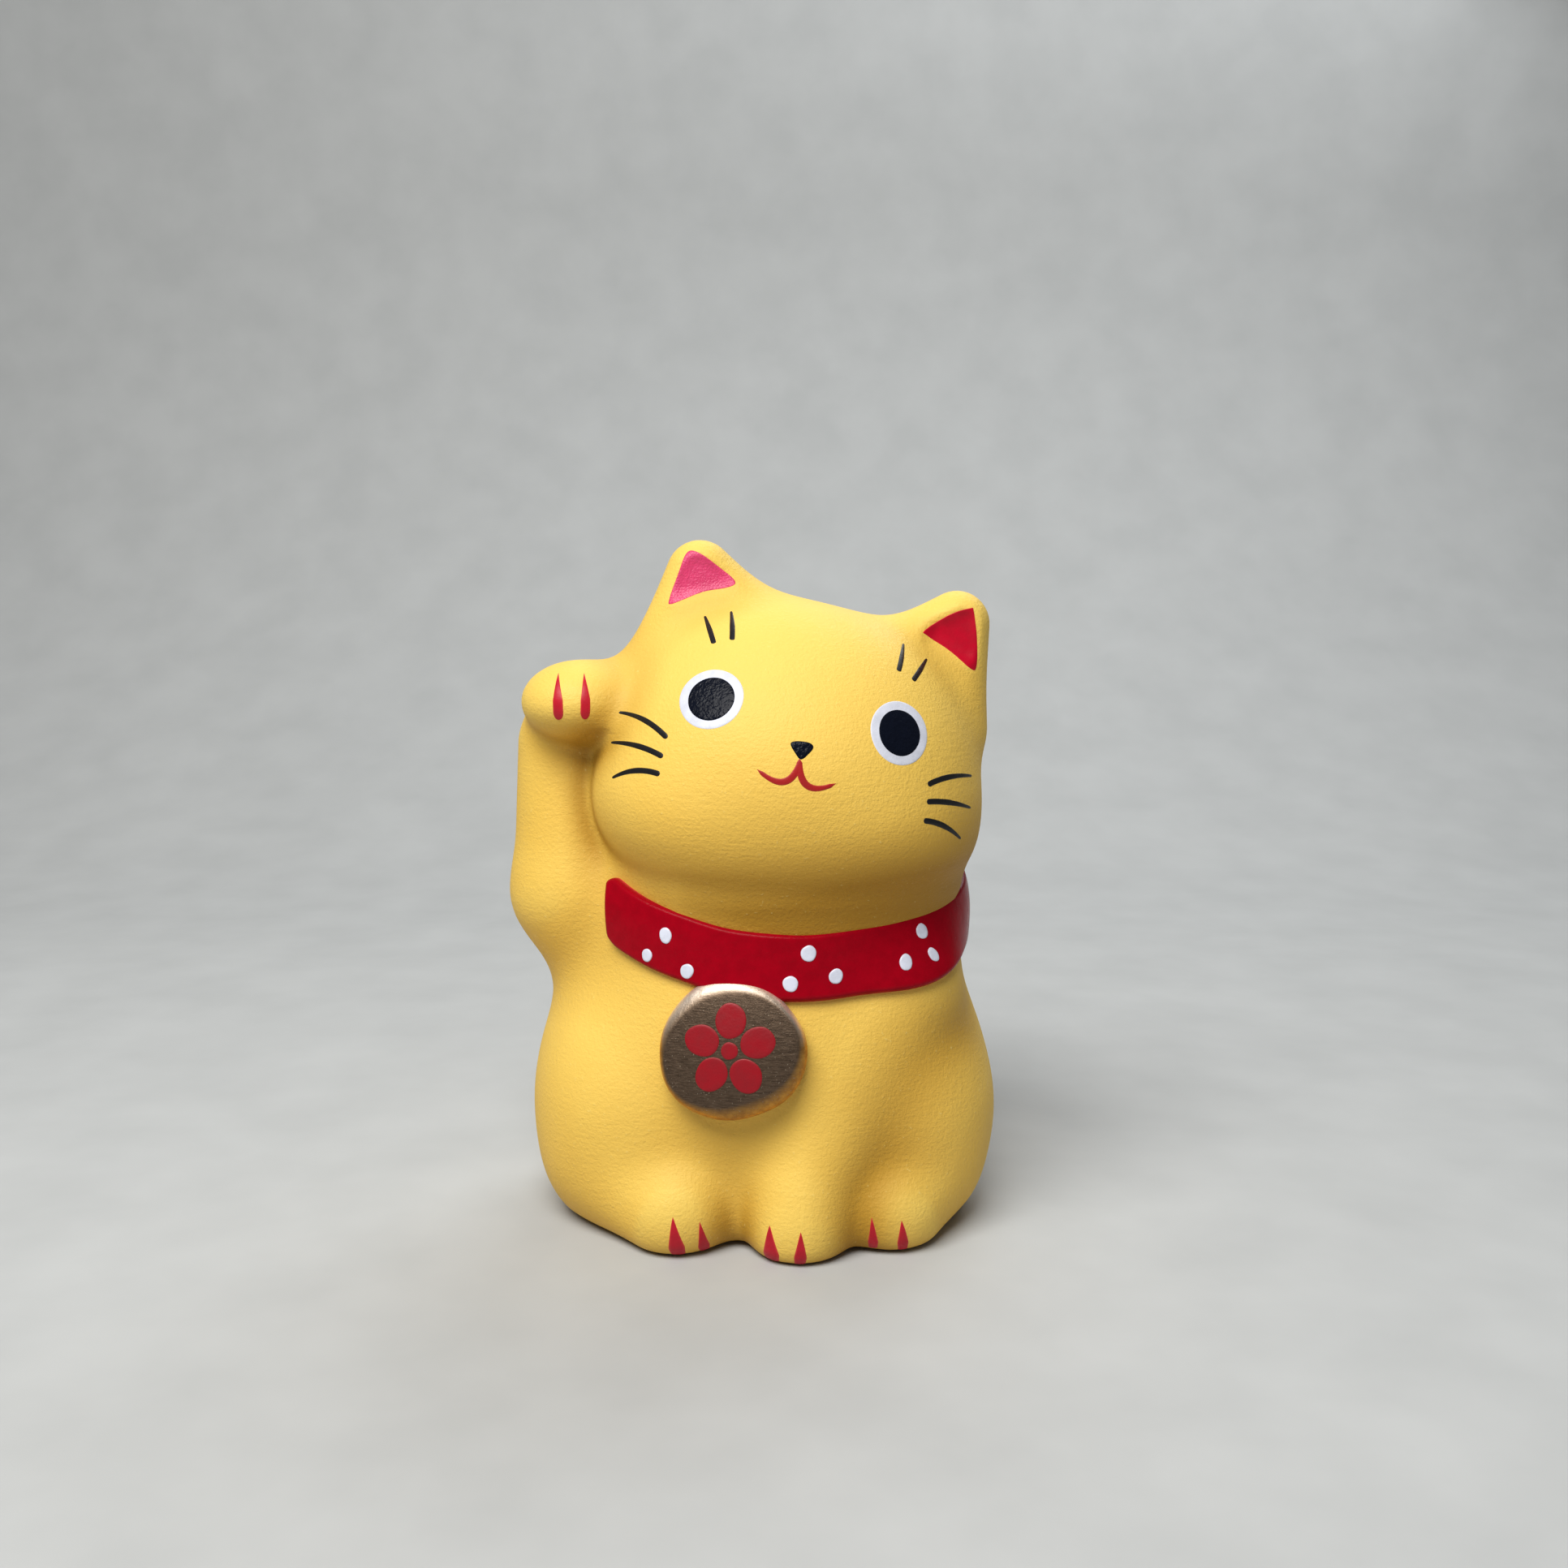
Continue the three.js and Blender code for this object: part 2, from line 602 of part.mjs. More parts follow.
function eyes() {
  const over = enamel + gap;
  const eye = (side, centre, white, pupil, tilt) => [
    toMesh(
      "eye_white_" + side,
      film(head, filledSheet(ellipseOutline(centre, white, tilt, 24), 3)),
      colours.white,
      0.4,
      0,
    ),
    toMesh(
      "pupil_" + side,
      film(head, filledSheet(ellipseOutline(centre, pupil, tilt, 20), 2), over),
      colours.black,
      0.35,
      0,
    ),
  ];
  return [
    ...eye("left", [-14, 7.3], [4.5, 3.95], [3.25, 2.85], 40),
    ...eye("right", [12.05, 7.3], [4.1, 4.45], [2.95, 3.2], 35),
  ];
}

function nose() {
  const outline = [[-2.6, 3.2], [-1.9, 3.7], [-0.2, 3.8], [0.5, 3.3], [-0.9, 1.4], [-1.8, 2.1]];
  return toMesh("nose", film(head, filledSheet(softOutline(outline, 16), 1)), colours.black, 0.35, 0);
}

const dots = {
  dot_1: { bearing: -42, height: -2.6, radius: 0.85 },
  dot_2: { bearing: -37, height: 1.1, radius: 1.05 },
  dot_3: { bearing: -27, height: -2.7, radius: 1.05 },
  dot_4: { bearing: 7, height: -2.2, radius: 1.1 },
  dot_5: { bearing: 13, height: 1.9, radius: 1.15 },
  dot_6: { bearing: 22, height: -1.5, radius: 1.05 },
  dot_7: { bearing: 44, height: -1.2, radius: 1 },
  dot_8: { bearing: 52.5, height: 1.9, radius: 1 },
  dot_9: { bearing: 53, height: -1.4, radius: 0.9 },
};

function collarDots() {
  const band = (p) => trunk(p) - collarRelief;
  return Object.entries(dots).map(([name, { bearing, height, radius }]) => {
    const centre = neckPoint(bearing, height, band);
    const outward = normalAt(band, centre);
    const across = unit(cross(outward, neck.z));
    const upward = cross(across, outward);
    const frame = { origin: centre, x: across, y: scale(outward, -1), z: upward };
    const at = (distance) => ([u, v]) => {
      const onBand = cast(band, toWorld(frame, [u, -3, v]), frame.y);
      return offsetFrom(band, onBand, distance);
    };
    const sheet = filledSheet(ellipseOutline([0, 0], [radius, radius], 0, 12), 1);
    return toMesh(name, toSolid(plate(sheet, at(gap), at(gap + enamel))), colours.white, 0.4, 0);
  });
}

// A plum blossom of five petals around a small round heart, painted on the medallion's face.
function blossom() {
  const petalRadius = 2.35;
  const petalDistance = 4.1;
  const heartRadius = 1.2;
  const paint = (name, outline) => {
    const lift = (distance) => ([u, v]) => add(facePoint(u, v), scale(disc.y, -distance));
    const solid = toSolid(plate(filledSheet(outline, 2), lift(gap), lift(gap + enamel)));
    return toMesh(name, solid, colours.red, 0.4, 0);
  };
  const petals = [0, 1, 2, 3, 4].map((i) => {
    const bearing = 90 + i * 72;
    const angle = THREE.MathUtils.degToRad(bearing);
    const centre = [petalDistance * Math.cos(angle), petalDistance * Math.sin(angle)];
    const outline = ellipseOutline(centre, [petalRadius * 1.05, petalRadius * 0.92], bearing, 14);
    return paint("blossom_petal_" + (i + 1), outline);
  });
  const heart = ellipseOutline([0, 0], [heartRadius, heartRadius], 0, 10);
  return [...petals, paint("blossom_heart", heart)];
}

// ---------------------------------------------------------------- the figurine

const figurine = new THREE.Group();
figurine.name = "beckoning_cat";
figurine.add(
  bodyShell(),
  collarBand(),
  ...collarDots(),
  medallion(),
  ...blossom(),
  ...earLinings(),
  ...eyes(),
  nose(),
  ...strokes(mouth, crescent(mouthWidth), colours.red, 0.45),
  ...strokes(whiskers, swelling(whiskerWidth), colours.black, 0.4),
  ...strokes(brows, swelling(browWidth), colours.black, 0.4),
  ...clawMarks(),
);

export default figurine;
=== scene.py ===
# The beckoning cat figurine: a matte yellow ceramic cat with a glossy red collar, a gold medallion
# and enamel marks. The form is laid out in millimetres, as distances to simple shapes that run into
# each other, and is scaled to the frame's height. The cat faces -Y.
import math

import bpy
import numpy as np
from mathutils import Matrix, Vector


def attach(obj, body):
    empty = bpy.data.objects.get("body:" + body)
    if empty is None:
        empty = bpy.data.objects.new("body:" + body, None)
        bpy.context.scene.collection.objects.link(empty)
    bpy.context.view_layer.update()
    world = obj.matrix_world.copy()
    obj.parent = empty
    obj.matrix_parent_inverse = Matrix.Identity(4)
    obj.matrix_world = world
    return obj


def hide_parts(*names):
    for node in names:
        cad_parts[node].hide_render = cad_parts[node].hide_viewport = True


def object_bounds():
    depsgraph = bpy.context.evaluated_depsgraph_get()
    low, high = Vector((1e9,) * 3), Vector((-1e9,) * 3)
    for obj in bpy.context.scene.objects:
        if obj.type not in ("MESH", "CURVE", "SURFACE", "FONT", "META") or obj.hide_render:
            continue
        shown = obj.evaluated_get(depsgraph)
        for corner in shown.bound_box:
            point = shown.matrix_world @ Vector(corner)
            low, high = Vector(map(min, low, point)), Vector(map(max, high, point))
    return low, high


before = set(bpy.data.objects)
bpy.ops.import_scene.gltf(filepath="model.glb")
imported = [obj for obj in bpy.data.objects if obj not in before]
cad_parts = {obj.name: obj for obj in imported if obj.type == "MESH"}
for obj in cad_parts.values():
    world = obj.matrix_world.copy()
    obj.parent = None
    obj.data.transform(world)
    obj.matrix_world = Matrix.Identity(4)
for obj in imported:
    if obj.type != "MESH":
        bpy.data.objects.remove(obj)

CAD_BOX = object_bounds()

# ---------------------------------------------------------------- driving dimensions, millimetres

TALL = 100.256  # height the form is laid out for
MM = (CAD_BOX[1].z - CAD_BOX[0].z) / TALL  # metres for one millimetre of the layout
MIDDLE = np.array([-1.84, -1.21, 0.0])  # centre of the footprint in the layout
WALL = 3.4  # thickness of the cast shell
VENT_RADIUS = 9.5
VENT_CENTRE = (1, 3)
COLLAR_HALF = 4.5  # half the band's height
COLLAR_RELIEF = 1.35  # how far the band stands off the neck
COLLAR_SADDLE = 2.4  # how much higher the band runs at the sides than at the front
NECK_RADIUS = 25.5
FAR = 60.0  # well clear of the cat, where a cast towards it starts
ENAMEL = 0.11  # how proud the nose stands
LINE = 0.07  # how proud the brushed lines, eyes and claws stand
LINING = 0.06  # how proud the ear linings stand
PETAL = 0.09  # how proud the blossom stands
DOT = 0.16  # how proud the collar's dots stand
SUNK = 0.12  # how far each film reaches into the skin below it
CELL = 0.72  # size of a mesh cell on the body


# ---------------------------------------------------------------- frames and distances

class Frame:
    """An origin with axes turned about Z by yaw, then X by pitch, then Y by roll, in degrees."""

    def __init__(self, origin, yaw=0, pitch=0, roll=0):
        y, p, r = np.radians([yaw, pitch, roll])
        about_z = [[np.cos(y), -np.sin(y), 0], [np.sin(y), np.cos(y), 0], [0, 0, 1]]
        about_x = [[1, 0, 0], [0, np.cos(p), -np.sin(p)], [0, np.sin(p), np.cos(p)]]
        about_y = [[np.cos(r), 0, np.sin(r)], [0, 1, 0], [-np.sin(r), 0, np.cos(r)]]
        self.origin = np.array(origin, float)
        self.axes = np.array(about_z) @ np.array(about_x) @ np.array(about_y)

    def world(self, q):
        return self.origin + np.asarray(q, float) @ self.axes.T

    def local(self, p):
        return (p - self.origin) @ self.axes

    def direction(self, axis):
        return self.axes[:, axis]


LEVEL = Frame((0, 0, 0))
HEAD = Frame((4.6, -4, 67), yaw=3, pitch=-6, roll=10.5)
NECK = Frame((1, 0, 45.8), pitch=11, roll=4)
DISC = Frame((-4.5, -27.2, 30.6), yaw=-8, pitch=-14)


def ellipsoid(p, centre, radii):
    q = p - np.array(centre, float)
    r = np.array(radii, float)
    k0 = np.sqrt(np.sum((q / r) ** 2, axis=-1))
    k1 = np.sqrt(np.sum((q / (r * r)) ** 2, axis=-1))
    return k0 * (k0 - 1) / np.maximum(k1, 1e-9)


def limb(p, a, b, radius_a, radius_b):
    """A limb between two balls."""
    a = np.array(a, float)
    along = np.array(b, float) - a
    l2 = along @ along
    taper = radius_a - radius_b
    a2 = l2 - taper * taper
    from_a = p - a
    y = from_a @ along
    z = y - l2
    off = from_a * l2 - along * y[..., None]
    x2 = np.sum(off * off, axis=-1)
    y2 = y * y * l2
    z2 = z * z * l2
    k = np.sign(taper) * taper * taper * x2
    side = (np.sqrt(x2 * a2 / l2) + y * taper) / l2 - radius_a
    near_a = np.sqrt(x2 + y2) / l2 - radius_a
    near_b = np.sqrt(x2 + z2) / l2 - radius_b
    form = np.where(np.sign(y) * a2 * y2 < k, near_a, side)
    return np.where(np.sign(z) * a2 * z2 > k, near_b, form)


def rounded_triangle(p, corners, radius):
    a, b, c = [np.array(v, float) for v in corners]
    edges = [b - a, c - b, a - c]
    origins = [p - a, p - b, p - c]
    normal = np.cross(edges[0], edges[2])
    sides = 0
    nearest = np.inf
    for edge, origin in zip(edges, origins):
        sides = sides + np.sign(origin @ np.cross(edge, normal))
        t = np.clip(origin @ edge / (edge @ edge), 0, 1)
        away = edge * t[..., None] - origin
        nearest = np.minimum(nearest, np.sqrt(np.sum(away * away, axis=-1)))
    flat = np.abs(origins[0] @ normal) / np.linalg.norm(normal)
    return np.where(sides < 2, nearest, flat) - radius


def blend(a, b, soft):
    """The two forms run together over a seam about `soft` wide."""
    h = np.maximum(soft - np.abs(a - b), 0) / soft
    return np.minimum(a, b) - h * h * h * soft / 6


def cut(a, b, soft):
    """What a and b share, with its edge rounded."""
    return -blend(-a, -b, soft)


# ---------------------------------------------------------------- the cat's form

def head_form(p):
    """The head, with an ear at each side and a shallow dish in the front of each ear."""
    q = HEAD.local(p)
    form = ellipsoid(q, (-0.3, 0, -2.2), (28.3, 25, 22.4))
    form = blend(form, ellipsoid(q, (-0.8, 2, 7), (25.4, 20, 17.6)), 8)
    form = blend(form, ellipsoid(q, (-10, -1.5, -8), (18.3, 20, 13.2)), 6)
    form = blend(form, ellipsoid(q, (9.5, -1.5, -6), (17.6, 20, 12)), 6)
    left_ear = rounded_triangle(q, [(-18.8, 0, 25.5), (-22.3, 1, 10), (-5.5, 1, 17)], 5)
    right_ear = rounded_triangle(q, [(20, 0, 25.2), (22, 1, 10.4), (7.2, 1, 15.6)], 4.9)
    form = blend(blend(form, left_ear, 7), right_ear, 7)
    left_corners = [(-19.6, -7.3, 26.2), (-21, -7.3, 23), (-15.8, -7.3, 25.1)]
    right_corners = [(20.8, -7.15, 25.4), (21.8, -7.15, 21.7), (17.2, -7.15, 23.3)]
    left_dish = rounded_triangle(q, left_corners, 3.4)
    right_dish = rounded_triangle(q, right_corners, 3.4)
    return cut(cut(form, -left_dish, 0.9), -right_dish, 0.9)


def torso_form(p):
    belly = ellipsoid(p, (-0.3, 1, 17), (34.4, 24.5, 37))
    shoulders = ellipsoid(p, (1.4, 0, 45), (28.5, 22, 26))
    chest = ellipsoid(p, (0, -5, 27), (24, 20, 20))
    return blend(blend(belly, shoulders, 8), chest, 8)


def raised_arm_form(p):
    upper = limb(p, (-20, 2, 33), (-27.9, 0, 48), 10.5, 10.2)
    lower = limb(p, (-27.9, 0, 48), (-28.9, 0, 70), 10.2, 8.1)
    paw = ellipsoid(p, (-26.7, -6.3, 77.0), (8.6, 9.7, 6.0))
    web = limb(p, (-21, 3, 48), (-20, 2, 75), 8, 7)
    return blend(blend(blend(upper, lower, 4), paw, 4.5), web, 5)


def front_leg_form(p):
    leg = limb(p, (17, -8.5, 34), (6, -19.5, 9), 12, 8.5)
    return blend(leg, ellipsoid(p, (5.2, -22.8, 3.5), (7.3, 7, 7.5)), 5)


def left_haunch_form(p):
    thigh = ellipsoid(p, (-18.6, -6, 16), (15.4, 16.5, 18.5))
    return blend(thigh, limb(p, (-22.8, -9.5, 9), (-12.5, -19.3, 5), 9, 8.3), 6)


def right_haunch_form(p):
    thigh = ellipsoid(p, (20, -6, 15.5), (14.5, 16.5, 18))
    return blend(thigh, limb(p, (22.8, -11, 8.5), (18.2, -17.9, 5), 8.7, 8.3), 5)


def tail_form(p):
    return limb(p, (3, 23.5, 5), (13, 23, 9), 4.6, 3.6)


def trunk(p):
    """Distance to the cat without its head."""
    form = blend(torso_form(p), left_haunch_form(p), 7)
    form = blend(form, right_haunch_form(p), 6)
    form = blend(form, front_leg_form(p), 6)
    form = blend(form, tail_form(p), 5)
    return blend(form, raised_arm_form(p), 6)


def skin(p):
    """Distance to the outer skin, which runs on below the floor.

    The head meets the trunk in a crisp seam, which is softer by the paw and under the chin.
    """
    paw_height, chin_height = 66, 56
    seam, paw_softness, chin_softness = 3, 4.5, 7
    by_paw = np.clip((p[..., 2] - paw_height) / 8, 0, 1) ** 2
    by_chin = np.clip((chin_height - p[..., 2]) / 6, 0, 1) * np.clip(-p[..., 1] / 10, 0, 1)
    by_chin *= np.clip((p[..., 0] + 20) / 8, 0, 1)
    soft = seam + paw_softness * by_paw + chin_softness * by_chin
    return blend(trunk(p), head_form(p), soft)


def hollow(p):
    """Distance to the hollow inside the shell."""
    skull = ellipsoid(HEAD.local(p), (0, 0, -1), (27, 23, 22))
    inside = blend(torso_form(p), skull, 6) + WALL
    return cut(inside, WALL - p[..., 2], 2)


def outside(p):
    """Distance to the outside of the cat: its skin, cut flat at the base with an eased edge."""
    return cut(skin(p), -p[..., 2], 3)


def shell(p):
    """Distance to the whole shell: the outside, less the hollow and its vent."""
    form = np.maximum(outside(p), -hollow(p))
    vent = np.hypot(p[..., 0] - VENT_CENTRE[0], p[..., 1] - VENT_CENTRE[1]) - VENT_RADIUS
    vent = np.maximum(vent, p[..., 2] - 2 * WALL)
    return cut(form, -vent, 1)


def normals(form, p):
    """Unit normals of the form at each point."""
    steps = np.eye(3) * 0.02
    slope = np.stack([form(p + step) - form(p - step) for step in steps], axis=-1)
    return slope / np.maximum(np.linalg.norm(slope, axis=-1, keepdims=True), 1e-12)


def curvature(p, step):
    """How sharply the skin bends out at each point (negative in a hollow), per millimetre."""
    around = sum(skin(p + offset) + skin(p - offset) for offset in np.eye(3) * step)
    return (around - 6 * skin(p)) / step ** 2


def cast(form, start, along):
    """Walks from each start point along its direction until it meets the form."""
    p = np.array(start, float)
    for _ in range(90):
        p = p + along * (0.8 * form(p))[..., None]
    return p


# ---------------------------------------------------------------- meshes

def to_object(name, points, faces, material, attributes=None):
    """A smooth object from points in layout millimetres."""
    mesh = bpy.data.meshes.new(name)
    placed = (np.asarray(points) - MIDDLE) * MM
    if isinstance(faces, np.ndarray):
        faces = faces.tolist()
    mesh.from_pydata(placed.tolist(), [], faces)
    mesh.polygons.foreach_set("use_smooth", [True] * len(mesh.polygons))
    for key, values in (attributes or {}).items():
        layer = mesh.attributes.new(key, "FLOAT", "POINT")
        layer.data.foreach_set("value", np.asarray(values, np.float32))
    mesh.materials.append(material)
    mesh.update()
    piece = bpy.data.objects.new(name, mesh)
    bpy.context.scene.collection.objects.link(piece)
    return piece


def band_values(form, axes, cell, stride=4):
    """The form on a grid, worked out closely near its surface and coarsely elsewhere."""
    coarse = form(np.stack(np.meshgrid(*[a[::stride] for a in axes], indexing="ij"), axis=-1))
    spread = coarse
    for axis in range(3):
        spread = np.repeat(spread, stride, axis=axis)
    values = spread[:len(axes[0]), :len(axes[1]), :len(axes[2])].copy()
    near = np.argwhere(np.abs(values) < 1.8 * stride * cell + 0.5)
    points = np.stack([axes[i][near[:, i]] for i in range(3)], axis=-1)
    values[tuple(near.T)] = form(points)
    return values


def surface_of(form, low, high, cell):
    """Points and quads on the surface where the form is zero."""
    axes = [np.arange(low[i], high[i] + cell, cell) for i in range(3)]
    n = [len(a) for a in axes]
    values = band_values(form, axes, cell)
    inside = values < 0
    total = np.zeros([m - 1 for m in n] + [3])
    count = np.zeros([m - 1 for m in n])
    crossings = []
    for axis in range(3):
        u, v = (axis + 1) % 3, (axis + 2) % 3
        first = [slice(None)] * 3
        second = [slice(None)] * 3
        first[axis] = slice(0, n[axis] - 1)
        second[axis] = slice(1, n[axis])
        a, b = values[tuple(first)], values[tuple(second)]
        crossed = inside[tuple(first)] != inside[tuple(second)]
        crossings.append((axis, crossed, inside[tuple(first)]))
        where = np.argwhere(crossed)
        share = a[crossed] / (a[crossed] - b[crossed])
        for du in (0, 1):
            for dv in (0, 1):
                cell_at = where.copy()
                cell_at[:, u] -= du
                cell_at[:, v] -= dv
                fits = np.all((cell_at >= 0) & (cell_at < np.array(n) - 1), axis=1)
                index = tuple(cell_at[fits].T)
                at = where[fits].astype(float)
                at[:, axis] += share[fits]
                np.add.at(total, index, at)
                np.add.at(count, index, 1)
    used = count > 0
    number = np.full(count.shape, -1)
    number[used] = np.arange(used.sum())
    points = total[used] / count[used][:, None] * cell + np.array(low, float)
    faces = []
    for axis, crossed, starts_inside in crossings:
        u, v = (axis + 1) % 3, (axis + 2) % 3
        where = np.argwhere(crossed)
        flip = ~starts_inside[crossed]
        ring = []
        for du, dv in ((0, 0), (1, 0), (1, 1), (0, 1)):
            cell_at = where.copy()
            cell_at[:, u] -= du
            cell_at[:, v] -= dv
            ring.append(number[tuple(cell_at.T)])
        quads = np.stack(ring, axis=1)
        quads[flip] = quads[flip][:, ::-1]
        faces.append(quads)
    for _ in range(2):
        points = points - normals(form, points) * form(points)[:, None]
    return points, np.concatenate(faces)


# ---------------------------------------------------------------- sheets and films

def quarter_round(distance, radius):
    """0 at an edge, rising on a quarter circle to 1 at `radius` from it."""
    t = np.clip(distance / radius, 0, 1)
    return np.sqrt(1 - (1 - t) ** 2)


def filled_sheet(outline, radius, rings=9):
    """A sheet inside a closed outline: points, how full the film is at each, and its faces."""
    outline = np.array(outline, float)
    ahead = np.roll(outline, -1, axis=0)
    if np.sum(outline[:, 0] * ahead[:, 1] - outline[:, 1] * ahead[:, 0]) < 0:
        outline = outline[::-1]
    n = len(outline)
    centre = outline.mean(axis=0)
    span = np.linalg.norm(outline - centre, axis=1).mean()
    shares = 1 - (1 - np.linspace(0, 1, rings + 1)[1:]) ** 1.8
    points = [centre]
    lift = [1.0]
    for share in shares:
        points.extend(centre + (outline - centre) * share)
        lift.extend([float(quarter_round((1 - share) * span, radius))] * n)
    faces = [(0, 1 + i, 1 + (i + 1) % n) for i in range(n)]
    for ring in range(rings - 1):
        inner = 1 + ring * n
        for i in range(n):
            j = (i + 1) % n
            faces.append((inner + i, inner + n + i, inner + n + j, inner + j))
    return np.array(points), np.array(lift), faces


def stroke_sheet(through, width_at, columns=40):
    """A brush stroke through three points, as wide at s (0 to 1) as width_at(s)."""
    start, via, end = [np.array(v, float) for v in through]
    bend = 2 * via - (start + end) / 2
    across = np.sin(np.linspace(-0.5, 0.5, 9) * math.pi)
    points, lift, faces = [], [], []
    for i in range(columns + 1):
        s = (1 - math.cos(i / columns * math.pi)) / 2
        here = (1 - s) ** 2 * start + 2 * s * (1 - s) * bend + s * s * end
        ahead = (1 - s) * (bend - start) + s * (end - bend)
        side = np.array([-ahead[1], ahead[0]]) / np.linalg.norm(ahead)
        for t in across:
            points.append(here + side * (t * width_at(s) / 2))
            lift.append(math.sqrt(max(0.0, 1 - t * t)) * min(1.0, width_at(s) / 0.5))
    rows = len(across)
    for i in range(columns):
        for j in range(rows - 1):
            a = i * rows + j
            faces.append((a, a + rows, a + rows + 1, a + 1))
    return np.array(points), np.array(lift), faces


def closed_plate(top, bottom, faces):
    """A closed body between two copies of a sheet."""
    n = len(top)
    points = np.concatenate([top, bottom])
    made = [tuple(f) for f in faces]
    made += [tuple(i + n for i in reversed(f)) for f in faces]
    edges = set()
    for f in faces:
        edges.update(zip(f, f[1:] + f[:1]))
    for a, b in edges:
        if (b, a) not in edges:
            made.append((b, a, a + n, b + n))
    return points, made


def film(name, nodes, sheet, place, thickness, material):
    """A film of enamel: `place` gives the skin point and normal under each point of the sheet."""
    flat, lift, faces = sheet
    base, normal = place(flat)
    top = base + normal * (lift * thickness)[:, None]
    bottom = base - normal * SUNK
    points, made = closed_plate(top, bottom, faces)
    fullness = {"fullness": np.concatenate([lift, lift * 0])}
    piece = to_object(name, points, made, material, fullness)
    own(piece, nodes)
    return piece


def own(piece, nodes):
    """Hangs a visual piece on the root and hides the CAD nodes that it stands for."""
    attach(piece, "root")
    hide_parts(*nodes)


def on_skin(where, below=0.0):
    """Places a sheet square on to a frame's XZ plane; `below` is the film already on the skin."""
    def place(flat):
        start = where.world(np.column_stack([flat[:, 0], np.full(len(flat), -FAR), flat[:, 1]]))
        base = cast(outside, start, where.direction(1))
        normal = normals(outside, base)
        return base + normal * below, normal
    return place


def neck_point(bearing, height):
    """Points of the neck at a bearing (0 at the front, positive to +X) and height on the band."""
    angle = np.radians(bearing)
    rise = COLLAR_SADDLE * np.sin(angle) ** 2
    zero = np.zeros_like(angle)
    away = np.stack([np.sin(angle), -np.cos(angle), zero], axis=-1)
    along = np.stack([zero, zero, height + rise], axis=-1)
    start = NECK.world(along + away * FAR)
    return cast(trunk, start, -(NECK.world(away) - NECK.origin))


def band_relief(height):
    """How far the band's face, a little crowned, stands off the neck at a height on it."""
    crown = 0.2
    return COLLAR_RELIEF - 0.1 + crown * (1 - (height / COLLAR_HALF) ** 2)


def on_collar(bearing, height):
    """Places a small sheet on the band around a bearing and height."""
    def place(flat):
        turned = bearing + np.degrees(flat[:, 0] / NECK_RADIUS)
        raised = height + flat[:, 1]
        neck = neck_point(turned, raised)
        normal = normals(trunk, neck)
        return neck + normal * band_relief(raised)[:, None], normal
    return place


# ---------------------------------------------------------------- outlines

def uneven(angle, seed, amount):
    """A hand's wobble round an outline."""
    return 1 + amount * (np.sin(3 * angle + seed) + 0.6 * np.sin(5 * angle + 2.3 * seed))


def ellipse_outline(centre, radii, tilt=0, seed=0.0, amount=0.008, sides=64):
    angle = np.linspace(0, 2 * math.pi, sides, endpoint=False)
    wobble = uneven(angle, seed, amount)
    a = radii[0] * np.cos(angle) * wobble
    b = radii[1] * np.sin(angle) * wobble
    c, s = math.cos(math.radians(tilt)), math.sin(math.radians(tilt))
    return np.stack([centre[0] + a * c - b * s, centre[1] + a * s + b * c], axis=-1)


def soft_outline(corners, sides=72, rounding=2):
    """A closed outline through a few points, with its corners eased."""
    corners = np.array(corners, float)
    n = len(corners)
    points = []
    for i in range(n):
        p0, p1, p2, p3 = [corners[(i + k) % n] for k in (-1, 0, 1, 2)]
        for t in np.linspace(0, 1, sides // n, endpoint=False):
            points.append(0.5 * (2 * p1 + (p2 - p0) * t + (2 * p0 - 5 * p1 + 4 * p2 - p3) * t * t
                                 + (3 * p1 - p0 - 3 * p2 + p3) * t ** 3))
    points = np.array(points)
    for _ in range(rounding):
        points = (np.roll(points, 1, axis=0) + 2 * points + np.roll(points, -1, axis=0)) / 4
    return points


# ---------------------------------------------------------------- materials

def new_material(name):
    """A material with its node tree and its shader."""
    material = bpy.data.materials.new(name)
    material.use_nodes = True
    tree = material.node_tree
    return material, tree, tree.nodes["Principled BSDF"]


def set_input(node, key, value):
    """Sets an unlinked input socket."""
    node.inputs[key].default_value = value


def millimetres(tree, stretch=(1, 1, 1), turn=(0, 0, 0)):
    """Object coordinates in millimetres, turned and stretched."""
    coordinates = tree.nodes.new("ShaderNodeTexCoord")
    mapping = tree.nodes.new("ShaderNodeMapping")
    mapping.inputs["Rotation"].default_value = [math.radians(a) for a in turn]
    mapping.inputs["Scale"].default_value = [1000 * s for s in stretch]
    tree.links.new(coordinates.outputs["Object"], mapping.inputs["Vector"])
    return mapping.outputs["Vector"]


def noise(tree, vector, scale, detail=2.0, roughness=0.5):
    """Noise with about `scale` spots to the millimetre."""
    made = tree.nodes.new("ShaderNodeTexNoise")
    tree.links.new(vector, made.inputs["Vector"])
    set_input(made, "Scale", scale)
    set_input(made, "Detail", detail)
    set_input(made, "Roughness", roughness)
    return made.outputs["Fac"]


def remap(tree, value, low, high, to_low=0.0, to_high=1.0):
    """The value, carried from low..high to to_low..to_high and held within it."""
    made = tree.nodes.new("ShaderNodeMapRange")
    tree.links.new(value, made.inputs["Value"])
    keys = ("From Min", "From Max", "To Min", "To Max")
    for key, number in zip(keys, (low, high, to_low, to_high)):
        set_input(made, key, number)
    return made.outputs["Result"]


def added(tree, a, b):
    """The sum of two sockets, held within 0 and 1."""
    made = tree.nodes.new("ShaderNodeMath")
    made.operation = "ADD"
    made.use_clamp = True
    tree.links.new(a, made.inputs[0])
    tree.links.new(b, made.inputs[1])
    return made.outputs["Value"]


